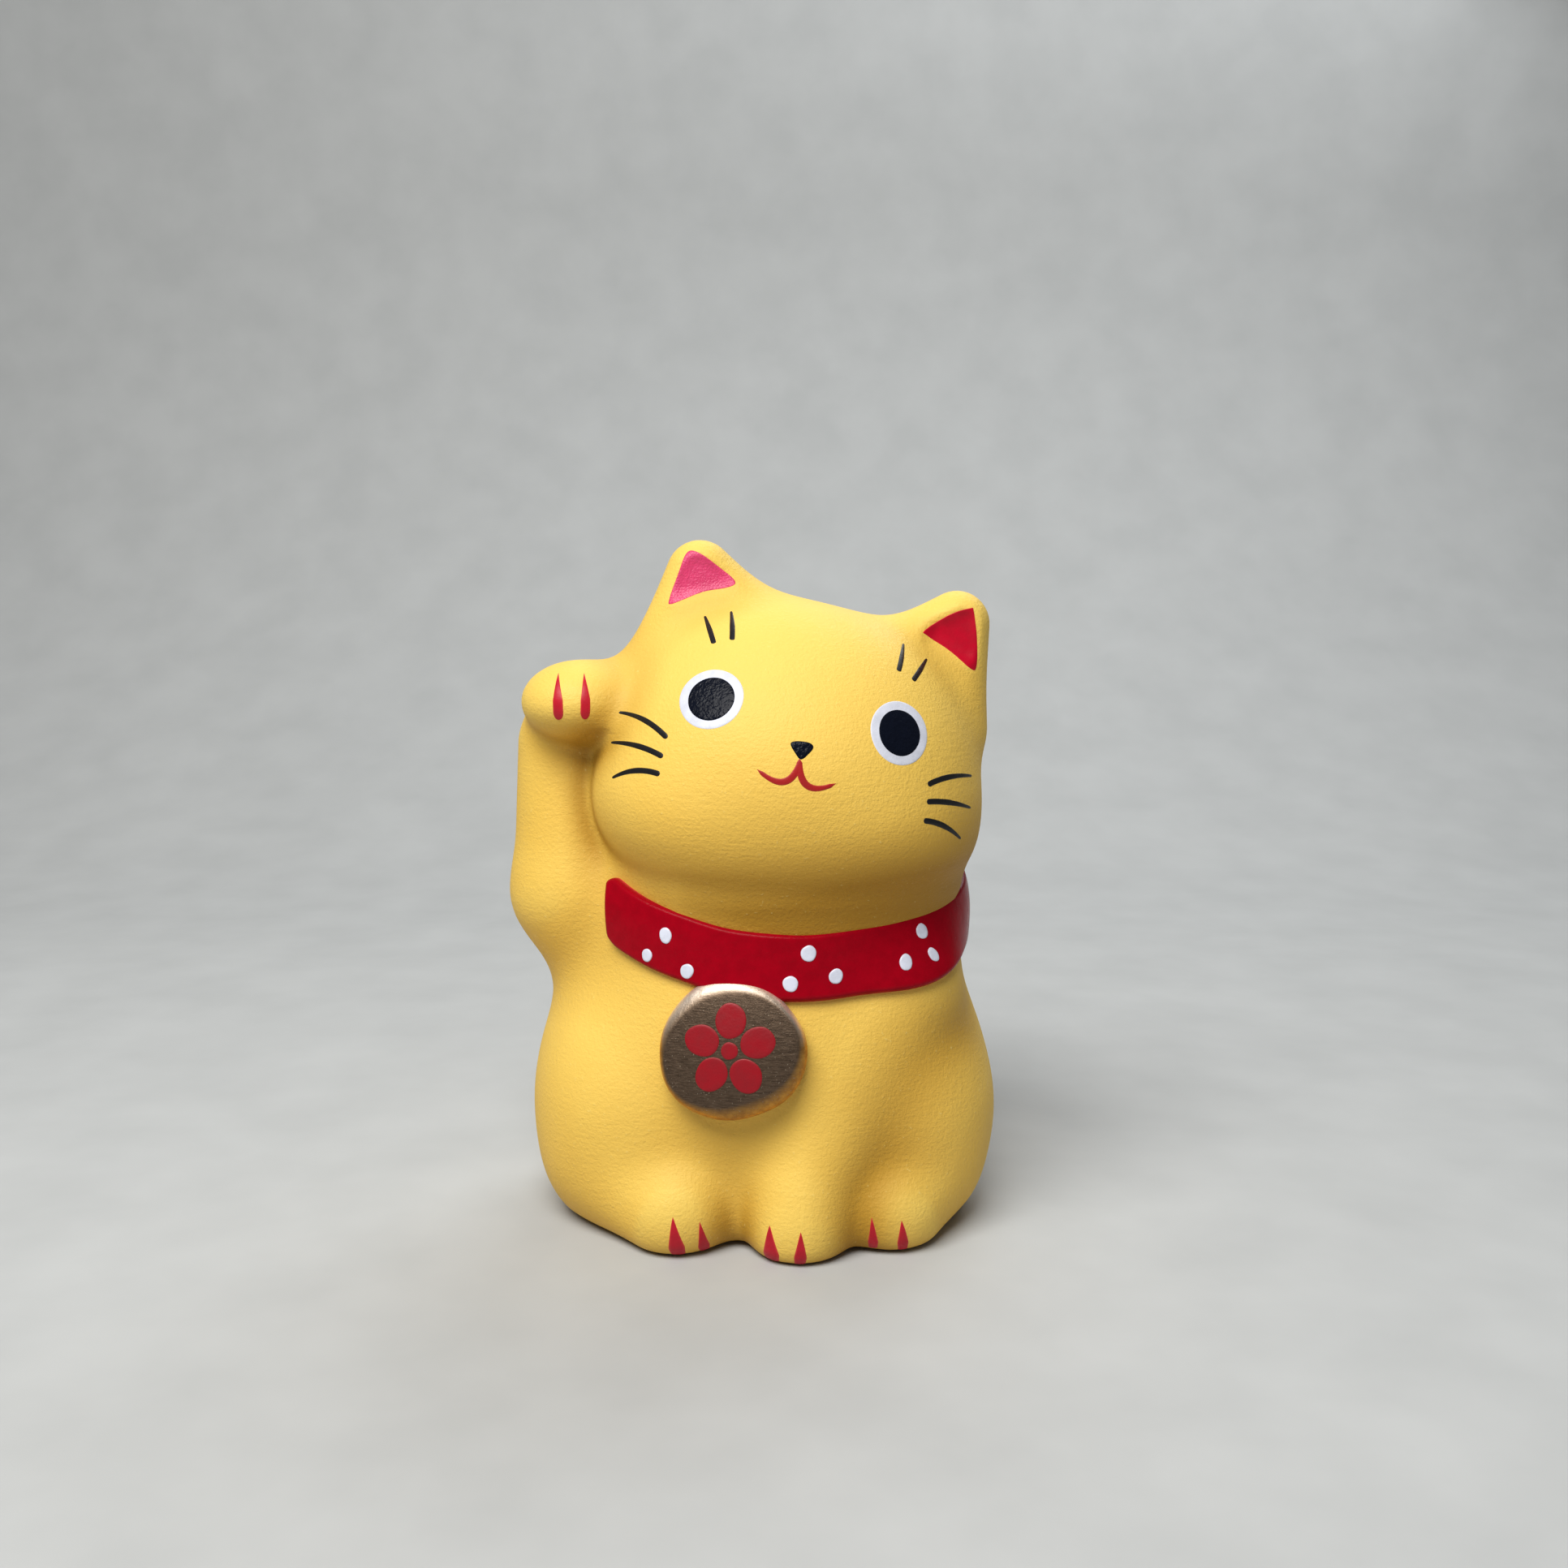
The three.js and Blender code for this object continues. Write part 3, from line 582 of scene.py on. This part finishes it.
def mixed(tree, factor, a, b):
    """Colour a where factor is 0 and b where it is 1; each is a colour or a socket."""
    made = tree.nodes.new("ShaderNodeMix")
    made.data_type = "RGBA"
    tree.links.new(factor, made.inputs[0])
    for socket, value in ((made.inputs[6], a), (made.inputs[7], b)):
        if isinstance(value, tuple):
            socket.default_value = value + (1.0,)
        else:
            tree.links.new(value, socket)
    return made.outputs[2]


def attribute(tree, name):
    """A value stored on the mesh's points."""
    made = tree.nodes.new("ShaderNodeAttribute")
    made.attribute_name = name
    return made.outputs["Fac"]


def normal_height(tree):
    """The height of the surface's normal: 1 facing up, 0 at a wall and -1 facing down."""
    geometry = tree.nodes.new("ShaderNodeNewGeometry")
    split = tree.nodes.new("ShaderNodeSeparateXYZ")
    tree.links.new(geometry.outputs["Normal"], split.inputs["Vector"])
    return split.outputs["Z"]


def bump(tree, height, millimetres_high, under=None):
    """A normal roughened by a height, on top of the bump under it."""
    made = tree.nodes.new("ShaderNodeBump")
    set_input(made, "Distance", millimetres_high / 1000)
    set_input(made, "Strength", 1.0)
    tree.links.new(height, made.inputs["Height"])
    if under is not None:
        tree.links.new(under, made.inputs["Normal"])
    return made.outputs["Normal"]


def yellow_paint():
    """Matte cold paint over fine-grained bisque: painted highlight makes it lighter where it faces
    up, sharp ridges are lighter too, and painted shade turns it deep orange in hollows and
    underneath.
    """
    material, tree, shader = new_material("yellow_paint")
    place = millimetres(tree)
    lit_lemon, shaded_yolk, shade_amber = (0.86, 0.585, 0.115), (0.82, 0.475, 0.06), (0.44, 0.22, 0.012)
    thin_coat = (0.93, 0.78, 0.30)
    # Painted highlight: the paint is lighter where the surface faces up and darker where it faces
    # down, standing in for light from above; sharp ridges are made lighter as well, and random
    # patches shift it a little.
    facing = normal_height(tree)
    ridge = remap(tree, attribute(tree, "ridge"), 0.0, 1.0, 0.0, 0.45)
    painted_top_light = added(tree, remap(tree, facing, -0.7, 0.75), ridge)
    patches = noise(tree, place, 0.09, 3, 0.55)
    painted_shading = added(tree, painted_top_light, remap(tree, patches, 0.3, 0.7, -0.07, 0.07))
    colour = mixed(tree, painted_shading, shaded_yolk, lit_lemon)
    # Painted shade: deep orange on surfaces facing down, in hollows, under the chin and beside the
    # front leg.
    below = remap(tree, facing, -0.3, -0.9, 0.0, 0.3)
    painted_shade = added(tree, remap(tree, attribute(tree, "hollow"), 0.05, 0.65), below)
    colour = mixed(tree, painted_shade, colour, shade_amber)
    grain = noise(tree, place, 1.9, 2, 0.6)
    fine = noise(tree, place, 4.5, 2, 0.5)
    thin = remap(tree, grain, 0.66, 0.8, 0.0, 0.35)
    colour = mixed(tree, thin, colour, thin_coat)
    tree.links.new(colour, shader.inputs["Base Color"])
    streaks = noise(tree, millimetres(tree, (0.35, 0.35, 2.4), (0, 33, 0)), 0.9, 3, 0.6)
    tree.links.new(remap(tree, patches, 0.3, 0.7, 0.55, 0.68), shader.inputs["Roughness"])
    set_input(shader, "Specular IOR Level", 0.35)
    normal = bump(tree, noise(tree, place, 0.3, 2, 0.5), 0.07)
    normal = bump(tree, streaks, 0.05, normal)
    normal = bump(tree, grain, 0.11, normal)
    normal = bump(tree, fine, 0.035, normal)
    tree.links.new(normal, shader.inputs["Normal"])
    return material


def enamel(name, colour, thin, roughness, gloss=0.5, grain=0.02, pebble=3.5):
    """Brushed enamel: `thin` is its colour where the film runs out at its edge.

    Its fine bumps are `grain` millimetres high, with about `pebble` of them to the millimetre.
    """
    material, tree, shader = new_material(name)
    place = millimetres(tree)
    clouds = noise(tree, place, 0.55, 3, 0.6)
    shaded = mixed(tree, remap(tree, clouds, 0.35, 0.65), colour, tuple(0.86 * c for c in colour))
    edge = remap(tree, attribute(tree, "fullness"), 0.0, 0.75, 0.85, 0.0)
    shaded = mixed(tree, edge, shaded, thin)
    tree.links.new(shaded, shader.inputs["Base Color"])
    clouded = remap(tree, clouds, 0.3, 0.7, roughness * 0.85, roughness * 1.15)
    tree.links.new(clouded, shader.inputs["Roughness"])
    set_input(shader, "Specular IOR Level", gloss)
    normal = bump(tree, noise(tree, place, 0.5, 2, 0.5), 0.05)
    normal = bump(tree, noise(tree, place, pebble, 2, 0.5), grain, normal)
    tree.links.new(normal, shader.inputs["Normal"])
    return material


def gold_paint():
    """Bronze-gold paint, brushed on: brown on the face and warm on the rim, which turns pale on top
    as a painted highlight; pale specks are painted glints.
    """
    material, tree, shader = new_material("gold_paint")
    place = millimetres(tree)
    brushed = noise(tree, millimetres(tree, (0.5, 1, 5), (0, 24, 0)), 1.4, 4, 0.7)
    mottle = noise(tree, place, 0.8, 4, 0.6)
    face = mixed(tree, remap(tree, brushed, 0.35, 0.68), (0.072, 0.046, 0.029), (0.150, 0.100, 0.066))
    rim = mixed(tree, remap(tree, mottle, 0.35, 0.7), (0.60, 0.30, 0.05), (0.34, 0.15, 0.03))
    # Painted highlight: the rim turns pale where it faces up, standing in for the lamp's reflection.
    rim = mixed(tree, remap(tree, normal_height(tree), 0.2, 0.6), rim, (0.95, 0.80, 0.66))
    colour = mixed(tree, attribute(tree, "rim"), face, rim)
    # Painted glints: pale specks scattered over the paint.
    painted_glint = remap(tree, noise(tree, place, 4.2, 1, 0.5), 0.68, 0.78)
    colour = mixed(tree, painted_glint, colour, (0.34, 0.27, 0.20))
    tree.links.new(colour, shader.inputs["Base Color"])
    set_input(shader, "Metallic", 0.8)
    tree.links.new(remap(tree, brushed, 0.3, 0.7, 0.36, 0.48), shader.inputs["Roughness"])
    normal = bump(tree, mottle, 0.08)
    normal = bump(tree, brushed, 0.03, normal)
    normal = bump(tree, noise(tree, place, 4.2, 2, 0.5), 0.02, normal)
    tree.links.new(normal, shader.inputs["Normal"])
    return material


def plain_stage():
    """A pale, faintly mottled paper."""
    material, tree, shader = new_material("plain_stage")
    mottle = noise(tree, millimetres(tree), 0.05, 3, 0.5)
    colour = mixed(tree, remap(tree, mottle, 0.3, 0.7), (0.44, 0.45, 0.45), (0.48, 0.49, 0.49))
    tree.links.new(colour, shader.inputs["Base Color"])
    set_input(shader, "Roughness", 0.8)
    return material


YELLOW = yellow_paint()
COLLAR_RED = enamel("collar_red", (0.34, 0.0012, 0.009), (0.66, 0.05, 0.06), 0.24, 0.06)
MARK_RED = enamel("mark_red", (0.52, 0.006, 0.022), (0.66, 0.07, 0.05), 0.45, 0.3)
MOUTH_RED = enamel("mouth_red", (0.40, 0.012, 0.012), (0.5, 0.08, 0.03), 0.45, 0.3)
BLOSSOM_RED = enamel("blossom_red", (0.30, 0.003, 0.010), (0.28, 0.02, 0.015), 0.45, 0.3)
EAR_PINK = enamel("ear_pink", (0.72, 0.05, 0.17), (0.70, 0.03, 0.08), 0.38, 0.4, 0.12)
EAR_RED = enamel("ear_red", (0.50, 0.002, 0.020), (0.66, 0.03, 0.05), 0.4, 0.2)
BLACK = enamel("black_enamel", (0.004, 0.0055, 0.012), (0.004, 0.005, 0.009), 0.26, 0.09, 0.16, 1.6)
LINE_BLACK = enamel("line_black", (0.009, 0.009, 0.010), (0.03, 0.022, 0.012), 0.42, 0.3)
WHITE = enamel("white_enamel", (0.70, 0.72, 0.82), (0.68, 0.68, 0.78), 0.32, 0.3)
DOT_WHITE = enamel("dot_white", (0.74, 0.77, 0.90), (0.6, 0.5, 0.6), 0.3, 0.5)
GOLD = gold_paint()


# ---------------------------------------------------------------- the cat, collar and medallion

def painted_shade_share(points):
    """How much painted shade, in deep orange, goes on: in hollows, under the chin and in the valley
    beside the leg.
    """
    chin_share, valley_share = 0.8, 0.5
    reaches = (2.5, 6.0, 12.0)
    normal = normals(shell, points)
    enclosed = sum(1 - skin(points + normal * reach) / reach for reach in reaches) / 3
    head = HEAD.local(points)
    chin = np.clip((0.45 * head[:, 0] - head[:, 2] - 9) / 16, 0, 1)
    chin *= np.clip((6 - head_form(points)) / 4, 0, 1)
    valley = 1 - (np.abs(front_leg_form(points)) + np.abs(right_haunch_form(points))) / 9
    return np.clip(enclosed, 0, 1) + chin_share * chin + valley_share * np.clip(valley, 0, 1)


def ridge_lightening(points):
    """How much lighter the paint is made on toes, ear rims and other sharp ridges, by how sharply the
    skin bends out.
    """
    return np.clip((curvature(points, 2.0) - 0.12) / 0.14, 0, 1)


def body():
    points, faces = surface_of(shell, (-42, -34, -2), (38, 32, 103), CELL)
    # hollow holds the painted shade and ridge the lightening of sharp ridges; the yellow paint reads
    # both.
    painted_shading = {"hollow": painted_shade_share(points), "ridge": ridge_lightening(points)}
    piece = to_object("cat_body", points, faces, YELLOW, painted_shading)
    own(piece, ["body_shell"])


def collar():
    first, last = -63.0, 236  # degrees of bearing
    slant = 0.9  # degrees that the first end leans for each millimetre of height
    end_lift, lift_span = 0.45, 25  # how much higher the first end runs, and over how many degrees
    round_span = 5  # degrees over which each end is rounded
    columns, rows = 420, 26
    end_share = 0.42  # how much of the band's height its rounded ends lose
    edge_round = 0.6
    sunk = 0.4  # how far the band reaches into the neck
    s, t = np.meshgrid(np.linspace(0, 1, columns + 1), np.linspace(-1, 1, rows + 1), indexing="ij")
    level = np.sin(t * math.pi / 2)
    to_end = np.minimum(s, 1 - s) * (last - first)
    taper = end_share * quarter_round(to_end, round_span) + 1 - end_share
    lift_at_end = end_lift * (1 - np.clip(s * (last - first) / lift_span, 0, 1)) ** 2
    wobble = 0.1 * np.sin(s * 23) + 0.06 * np.sin(s * 61 + 1)
    height = level * COLLAR_HALF * taper + wobble * np.abs(level) + lift_at_end
    bearing = first + s * (last - first) - slant * height * (1 - s)
    edge = COLLAR_HALF * taper * (1 - np.abs(level))
    edge = np.minimum(edge, to_end * 0.45)
    lift = quarter_round(edge, edge_round).ravel()
    neck = neck_point(bearing.ravel(), height.ravel())
    normal = normals(trunk, neck)
    relief = band_relief((height - lift_at_end).ravel())
    top = neck + normal * (relief * lift)[:, None]
    bottom = neck - normal * sunk
    faces = []
    for i in range(columns):
        for j in range(rows):
            a = i * (rows + 1) + j
            faces.append((a, a + rows + 1, a + rows + 2, a + 1))
    points, made = closed_plate(top, bottom, faces)
    full = {"fullness": np.concatenate([np.clip(lift * 1.5, 0, 1), lift * 0])}
    piece = to_object("collar", points, made, COLLAR_RED, full)
    own(piece, ["collar_band"])


# bearing, height on the band, half width and half height
DOTS = {
    "dot_1": (-42, -2.6, 0.85, 0.95),
    "dot_2": (-37, 1.1, 0.98, 1.12),
    "dot_3": (-27, -2.7, 1.05, 1.0),
    "dot_4": (7, -2.2, 1.05, 1.12),
    "dot_5": (13, 1.9, 1.12, 1.2),
    "dot_6": (22, -1.5, 1.02, 1.1),
    "dot_7": (44, -1.2, 0.78, 1.02),
    "dot_8": (52.5, 1.9, 0.92, 1.1),
    "dot_9": (53, -1.4, 0.7, 0.9),
}


def dots():
    for seed, (name, (bearing, height, wide, tall)) in enumerate(DOTS.items()):
        outline = ellipse_outline((0, 0), (wide, tall), seed * 25, seed, 0.02, 40)
        sheet = filled_sheet(outline, 0.35)
        place = on_collar(bearing, height)
        film("enamel_" + name, [name], sheet, place, DOT, DOT_WHITE)


DISC_RADII = np.array([10.3, 9.8])


def past_edge(share, angle):
    """0 on the medallion's face, rising to 1 at its rim.

    The rounding is wide above and below, and narrow at the sides.
    """
    start = 0.82 - 0.09 * np.cos(2 * angle - 4)
    return np.clip((share - start) / (1 - start), 0, 1)


def dome_drop(share, past):
    """How far the medallion's face lies behind the top of its dome."""
    crown, rim = 0.65, 1.6
    return crown * np.minimum(share, 1) ** 2 + rim * (1 - np.sqrt(1 - past ** 2))


def face_point(u, v):
    """A point of the medallion's face, inside its rim."""
    share = np.hypot(u / DISC_RADII[0], v / DISC_RADII[1])
    return DISC.world(np.stack([u, dome_drop(share, 0.0), v], axis=-1))


def medallion():
    """Rings from the middle of the face out over the rim, and back down its side to the skin."""
    sides = 120
    sunk = 0.4  # how far its foot reaches into the skin
    angle = np.linspace(0, 2 * math.pi, sides, endpoint=False)
    wobble = 1 + 0.024 * np.cos(3 * angle - 5.5)
    wobble += 0.008 * np.sin(2 * angle + 1) + 0.005 * np.sin(7 * angle)
    rounding = np.sin(np.linspace(0, math.pi / 2, 20))
    shares = np.concatenate([np.linspace(0.08, 0.72, 9), 0.74 + 0.26 * rounding])
    rows = []
    rim_share = [0.0]
    for share in shares:
        u = DISC_RADII[0] * np.cos(angle) * share
        v = DISC_RADII[1] * np.sin(angle) * share
        past = past_edge(share, angle)
        depth = dome_drop(share, past)
        rim_share.extend(np.clip(past * 1.6 - 0.25, 0, 1))
        rows.append(DISC.world(np.stack([u * wobble, depth, v * wobble], axis=-1)))
    u = DISC_RADII[0] * np.cos(angle) * wobble
    v = DISC_RADII[1] * np.sin(angle) * wobble
    start = DISC.world(np.stack([u * 0.93, np.full(sides, -20.0), v * 0.93], axis=-1))
    foot = cast(skin, start, DISC.direction(1)) + DISC.direction(1) * sunk
    rim = rows[-1]
    for share in (0.12, 0.3, 0.55, 0.8, 1.0):
        rows.append(rim + (foot - rim) * share)
    points = [face_point(np.array(0.0), np.array(0.0))]
    for row in rows:
        points.extend(row)
    points.append(foot.mean(axis=0))
    faces = [(0, 1 + i, 1 + (i + 1) % sides) for i in range(sides)]
    for ring in range(len(rows) - 1):
        inner = 1 + ring * sides
        for i in range(sides):
            j = (i + 1) % sides
            faces.append((inner + i, inner + sides + i, inner + sides + j, inner + j))
    last = 1 + (len(rows) - 1) * sides
    faces += [(len(points) - 1, last + (i + 1) % sides, last + i) for i in range(sides)]
    rim_share += [1.0] * (len(points) - len(rim_share))
    piece = to_object("gold_medallion", points, faces, GOLD, {"rim": rim_share})
    own(piece, ["medallion"])


def blossom():
    """A plum blossom of five petals round a small heart."""
    petal, distance, heart = 2.35, 4.1, 1.2  # radii, with the petals' distance from the middle

    def place(flat):
        base = face_point(flat[:, 0], flat[:, 1])
        return base, np.tile(-DISC.direction(1), (len(flat), 1))

    for i in range(5):
        bearing = 90 + i * 72
        angle = math.radians(bearing)
        centre = (distance * math.cos(angle), distance * math.sin(angle))
        outline = ellipse_outline(centre, (petal * 1.05, petal * 0.92), bearing, i, 0.012)
        name = "petal_%d" % (i + 1)
        sheet = filled_sheet(outline, 0.4)
        film("painted_" + name, ["blossom_" + name], sheet, place, PETAL, BLOSSOM_RED)
    outline = ellipse_outline((0, 0), (heart, heart), 0, 2, 0.015, 40)
    sheet = filled_sheet(outline, 0.4)
    film("painted_heart", ["blossom_heart"], sheet, place, PETAL, BLOSSOM_RED)


# ---------------------------------------------------------------- painted marks

def ear_linings():
    left = [
        (-21.2, 27.9), (-19.6, 28.2), (-16.5, 26.8), (-13.7, 25.2), (-14.1, 24.1),
        (-18, 22.6), (-22, 20.1), (-22.5, 20.9), (-21.9, 24.5),
    ]
    right = [
        (20.9, 27.4), (18.1, 25.9), (14.9, 23), (15.4, 22.3), (19, 20.8),
        (22.6, 18.7), (23.5, 19.2), (22.9, 22.9), (21.6, 27.1),
    ]
    for side, corners, paint in (("left", left, EAR_PINK), ("right", right, EAR_RED)):
        sheet = filled_sheet(soft_outline(corners), 0.5, 12)
        nodes = ["ear_lining_" + side]
        film("ear_paint_" + side, nodes, sheet, on_skin(HEAD), LINING, paint)


def eyes():
    for side, centre, white, pupil, tilt in (
        ("left", (-14, 7.3), (4.5, 3.95), (3.25, 2.85), 40),
        ("right", (12.05, 7.3), (4.1, 4.45), (2.95, 3.2), 35),
    ):
        ring = filled_sheet(ellipse_outline(centre, white, tilt, 1.0, 0.004), 0.4, 14)
        nodes = ["eye_white_" + side]
        film("eye_paint_" + side, nodes, ring, on_skin(HEAD), LINE, WHITE)
        dark = filled_sheet(ellipse_outline(centre, pupil, tilt, 2.0, 0.004), 0.4, 14)
        nodes = ["pupil_" + side]
        over_white = on_skin(HEAD, LINE)
        film("pupil_paint_" + side, nodes, dark, over_white, LINE, BLACK)


def nose():
    outline = [(-2.6, 3.2), (-1.9, 3.7), (-0.2, 3.8), (0.5, 3.3), (0, 2.3), (-0.9, 1.4), (-1.8, 2.1)]
    sheet = filled_sheet(soft_outline(outline, 70, 1), 0.3)
    film("nose_paint", ["nose"], sheet, on_skin(HEAD), ENAMEL, BLACK)


def swelling(width):
    """A fine start that soon swells to full width, and a blunt far end."""
    def width_at(s):
        end = math.sqrt(max(0.0, 1 - max(0.0, (s - 0.95) / 0.05) ** 2))
        start = math.sqrt(min(1.0, s / 0.03))
        return width * (0.4 + 0.6 * min(1, 1.9 * s) ** 0.8) * end * start + 0.02
    return width_at


def flame(width, blunt=0.0):
    """Drawn from a point to its full width near the end, which is rounded, or flat if blunt is 1."""
    def width_at(s):
        body = min(1.0, (1.9 - 0.55 * blunt) * s) ** 0.85
        end = math.sqrt(max(0.0, 1 - max(0.0, (s - 0.8) / 0.2) ** 2))
        foot = 1 - 0.2 * max(0.0, (s - 0.7) / 0.3)
        return width * body * (blunt * foot + (1 - blunt) * end) + 0.03
    return width_at


def crescent(width):
    """Thickest a little past the middle and drawn out to points."""
    def width_at(s):
        belly = 0.6 + 0.4 * math.sin(math.pi * min(1, s + 0.12))
        return width * belly * min(1, s / 0.05, (1 - s) / 0.08) + 0.02
    return width_at


WHISKERS = {
    "whisker_left_top": [(-26.6, 3.3), (-22.7, 2.9), (-19, 1)],
    "whisker_left_middle": [(-26.9, -1.1), (-23, -0.8), (-19.1, -1.6)],
    "whisker_left_bottom": [(-25.7, -5.9), (-22.6, -4.2), (-19.1, -4)],
    "whisker_right_top": [(24.5, 3.3), (20.5, 2.6), (17.2, 1)],
    "whisker_right_middle": [(24.9, -1.2), (21, -0.9), (17.4, -1.3)],
    "whisker_right_bottom": [(23.9, -5.7), (20.6, -4.2), (17.4, -3.9)],
}
BROWS = {
    "brow_left_outer": [(-17, 19.1), (-16, 17.2), (-15, 15.1)],
    "brow_left_inner": [(-13.4, 20.4), (-12.9, 18.2), (-12.6, 16)],
    "brow_right_inner": [(11.8, 20.3), (11.5, 18.1), (11.1, 15.9)],
    "brow_right_outer": [(15.6, 18.8), (14.6, 17), (13.4, 15)],
}
MOUTH = {
    "mouth_left": [(-0.9, 1.3), (-2.6, -1.9), (-6.4, -0.9)],
    "mouth_right": [(-1.1, 1.5), (0.6, -1.9), (4.3, -0.9)],
}
PAW_CLAWS = {
    "claw_raised_outer": ([(-29.1, 81.5), (-28.8, 78), (-28.8, 75.1)], 1.45),
    "claw_raised_inner": ([(-25.4, 81.5), (-24.9, 78.1), (-25.1, 75.2)], 1.3),
}
FOOT_CLAWS = {
    "claw_left_foot_outer": ([(-12.5, 6.7), (-12.2, 3.4), (-11.8, 0.5)], 2.35),
    "claw_left_foot_inner": ([(-8.8, 5.7), (-8.4, 2.8), (-8.2, 0.7)], 1.6),
    "claw_front_paw_outer": ([(1, 5.9), (1.1, 3), (1.4, 0.4)], 2.25),
    "claw_front_paw_inner": ([(5.3, 5.5), (5.3, 2.9), (5.2, 0.4)], 1.8),
    "claw_right_foot_inner": ([(15.3, 6), (15.5, 3.3), (15.6, 1)], 1.45),
    "claw_right_foot_outer": ([(19.5, 5.6), (19.7, 3.3), (19.8, 0.7)], 1.6),
}


def strokes(table, width_at, material):
    """Thin brushed lines on the head."""
    for name, through in table.items():
        sheet = stroke_sheet(through, width_at)
        film("brushed_" + name, [name], sheet, on_skin(HEAD), LINE, material)


def claws(table, blunt):
    """Red strokes on a paw, square on to it."""
    for name, (through, width) in table.items():
        sheet = stroke_sheet(through, flame(width, blunt))
        film("painted_" + name, [name], sheet, on_skin(LEVEL), LINE, MARK_RED)


def painted_marks():
    ear_linings()
    eyes()
    nose()
    strokes(WHISKERS, swelling(0.78), LINE_BLACK)
    strokes(BROWS, swelling(0.74), LINE_BLACK)
    strokes(MOUTH, crescent(0.95), MOUTH_RED)
    claws(PAW_CLAWS, 0.0)
    claws(FOOT_CLAWS, 1.0)


# ---------------------------------------------------------------- stage, light and camera

def backdrop():
    """A pale floor that curves up behind the cat into a wall."""
    wide, front, back, bend = 1.6, -0.7, 0.45, 0.25
    profile = [(front, 0.0), (back - bend, 0.0)]
    for i in range(1, 17):
        angle = i / 16 * math.pi / 2
        profile.append((back - bend + bend * math.sin(angle), bend - bend * math.cos(angle)))
    profile.append((back, 1.3))
    points = [(x, y, z) for x in (-wide, wide) for y, z in profile]
    n = len(profile)
    faces = [(i, n + i, n + i + 1, i + 1) for i in range(n - 1)]
    mesh = bpy.data.meshes.new("backdrop")
    mesh.from_pydata(points, [], faces)
    mesh.polygons.foreach_set("use_smooth", [True] * len(mesh.polygons))
    mesh.materials.append(plain_stage())
    floor = bpy.data.objects.new("backdrop", mesh)
    bpy.context.scene.collection.objects.link(floor)


def aim(thing, target):
    """Turns a light's -Z at the target."""
    direction = np.array(target) - np.array(thing.location)
    yaw = math.atan2(direction[1], direction[0]) - math.pi / 2
    pitch = math.atan2(direction[2], math.hypot(direction[0], direction[1]))
    thing.rotation_euler = (math.pi / 2 + pitch, 0, yaw)


def area_light(name, place, size, power, colour):
    lamp = bpy.data.lights.new(name, "AREA")
    lamp.shape = "RECTANGLE"
    lamp.size, lamp.size_y = size
    lamp.energy = power
    lamp.color = colour
    made = bpy.data.objects.new(name, lamp)
    made.location = place
    bpy.context.scene.collection.objects.link(made)
    aim(made, (0, 0, 0.05))


def lights():
    area_light("key", (-0.15, -0.33, 0.56), (0.46, 0.34), 5.35, (1.0, 0.985, 0.95))
    area_light("back", (0.14, 0.38, 0.46), (0.40, 0.30), 1.5, (0.95, 0.98, 1.0))
    sky = bpy.data.worlds.new("sky")
    sky.use_nodes = True
    background = sky.node_tree.nodes["Background"]
    set_input(background, "Color", (0.88, 0.93, 1.0, 1.0))
    set_input(background, "Strength", 0.12)
    bpy.context.scene.world = sky


def camera():
    eye = (np.array([3.0, -236.0, 97.0]) - MIDDLE) * MM
    data = bpy.data.cameras.new("camera")
    data.sensor_width = 36
    data.lens = 36.1
    made = bpy.data.objects.new("camera", data)
    made.location = eye
    tipped_down = 8
    made.rotation_euler = (math.radians(90 - tipped_down), 0, 0)
    bpy.context.scene.collection.objects.link(made)
    bpy.context.scene.camera = made


body()
collar()
dots()
medallion()
blossom()
painted_marks()
backdrop()
lights()
camera()
bpy.context.scene.view_settings.view_transform = "Standard"
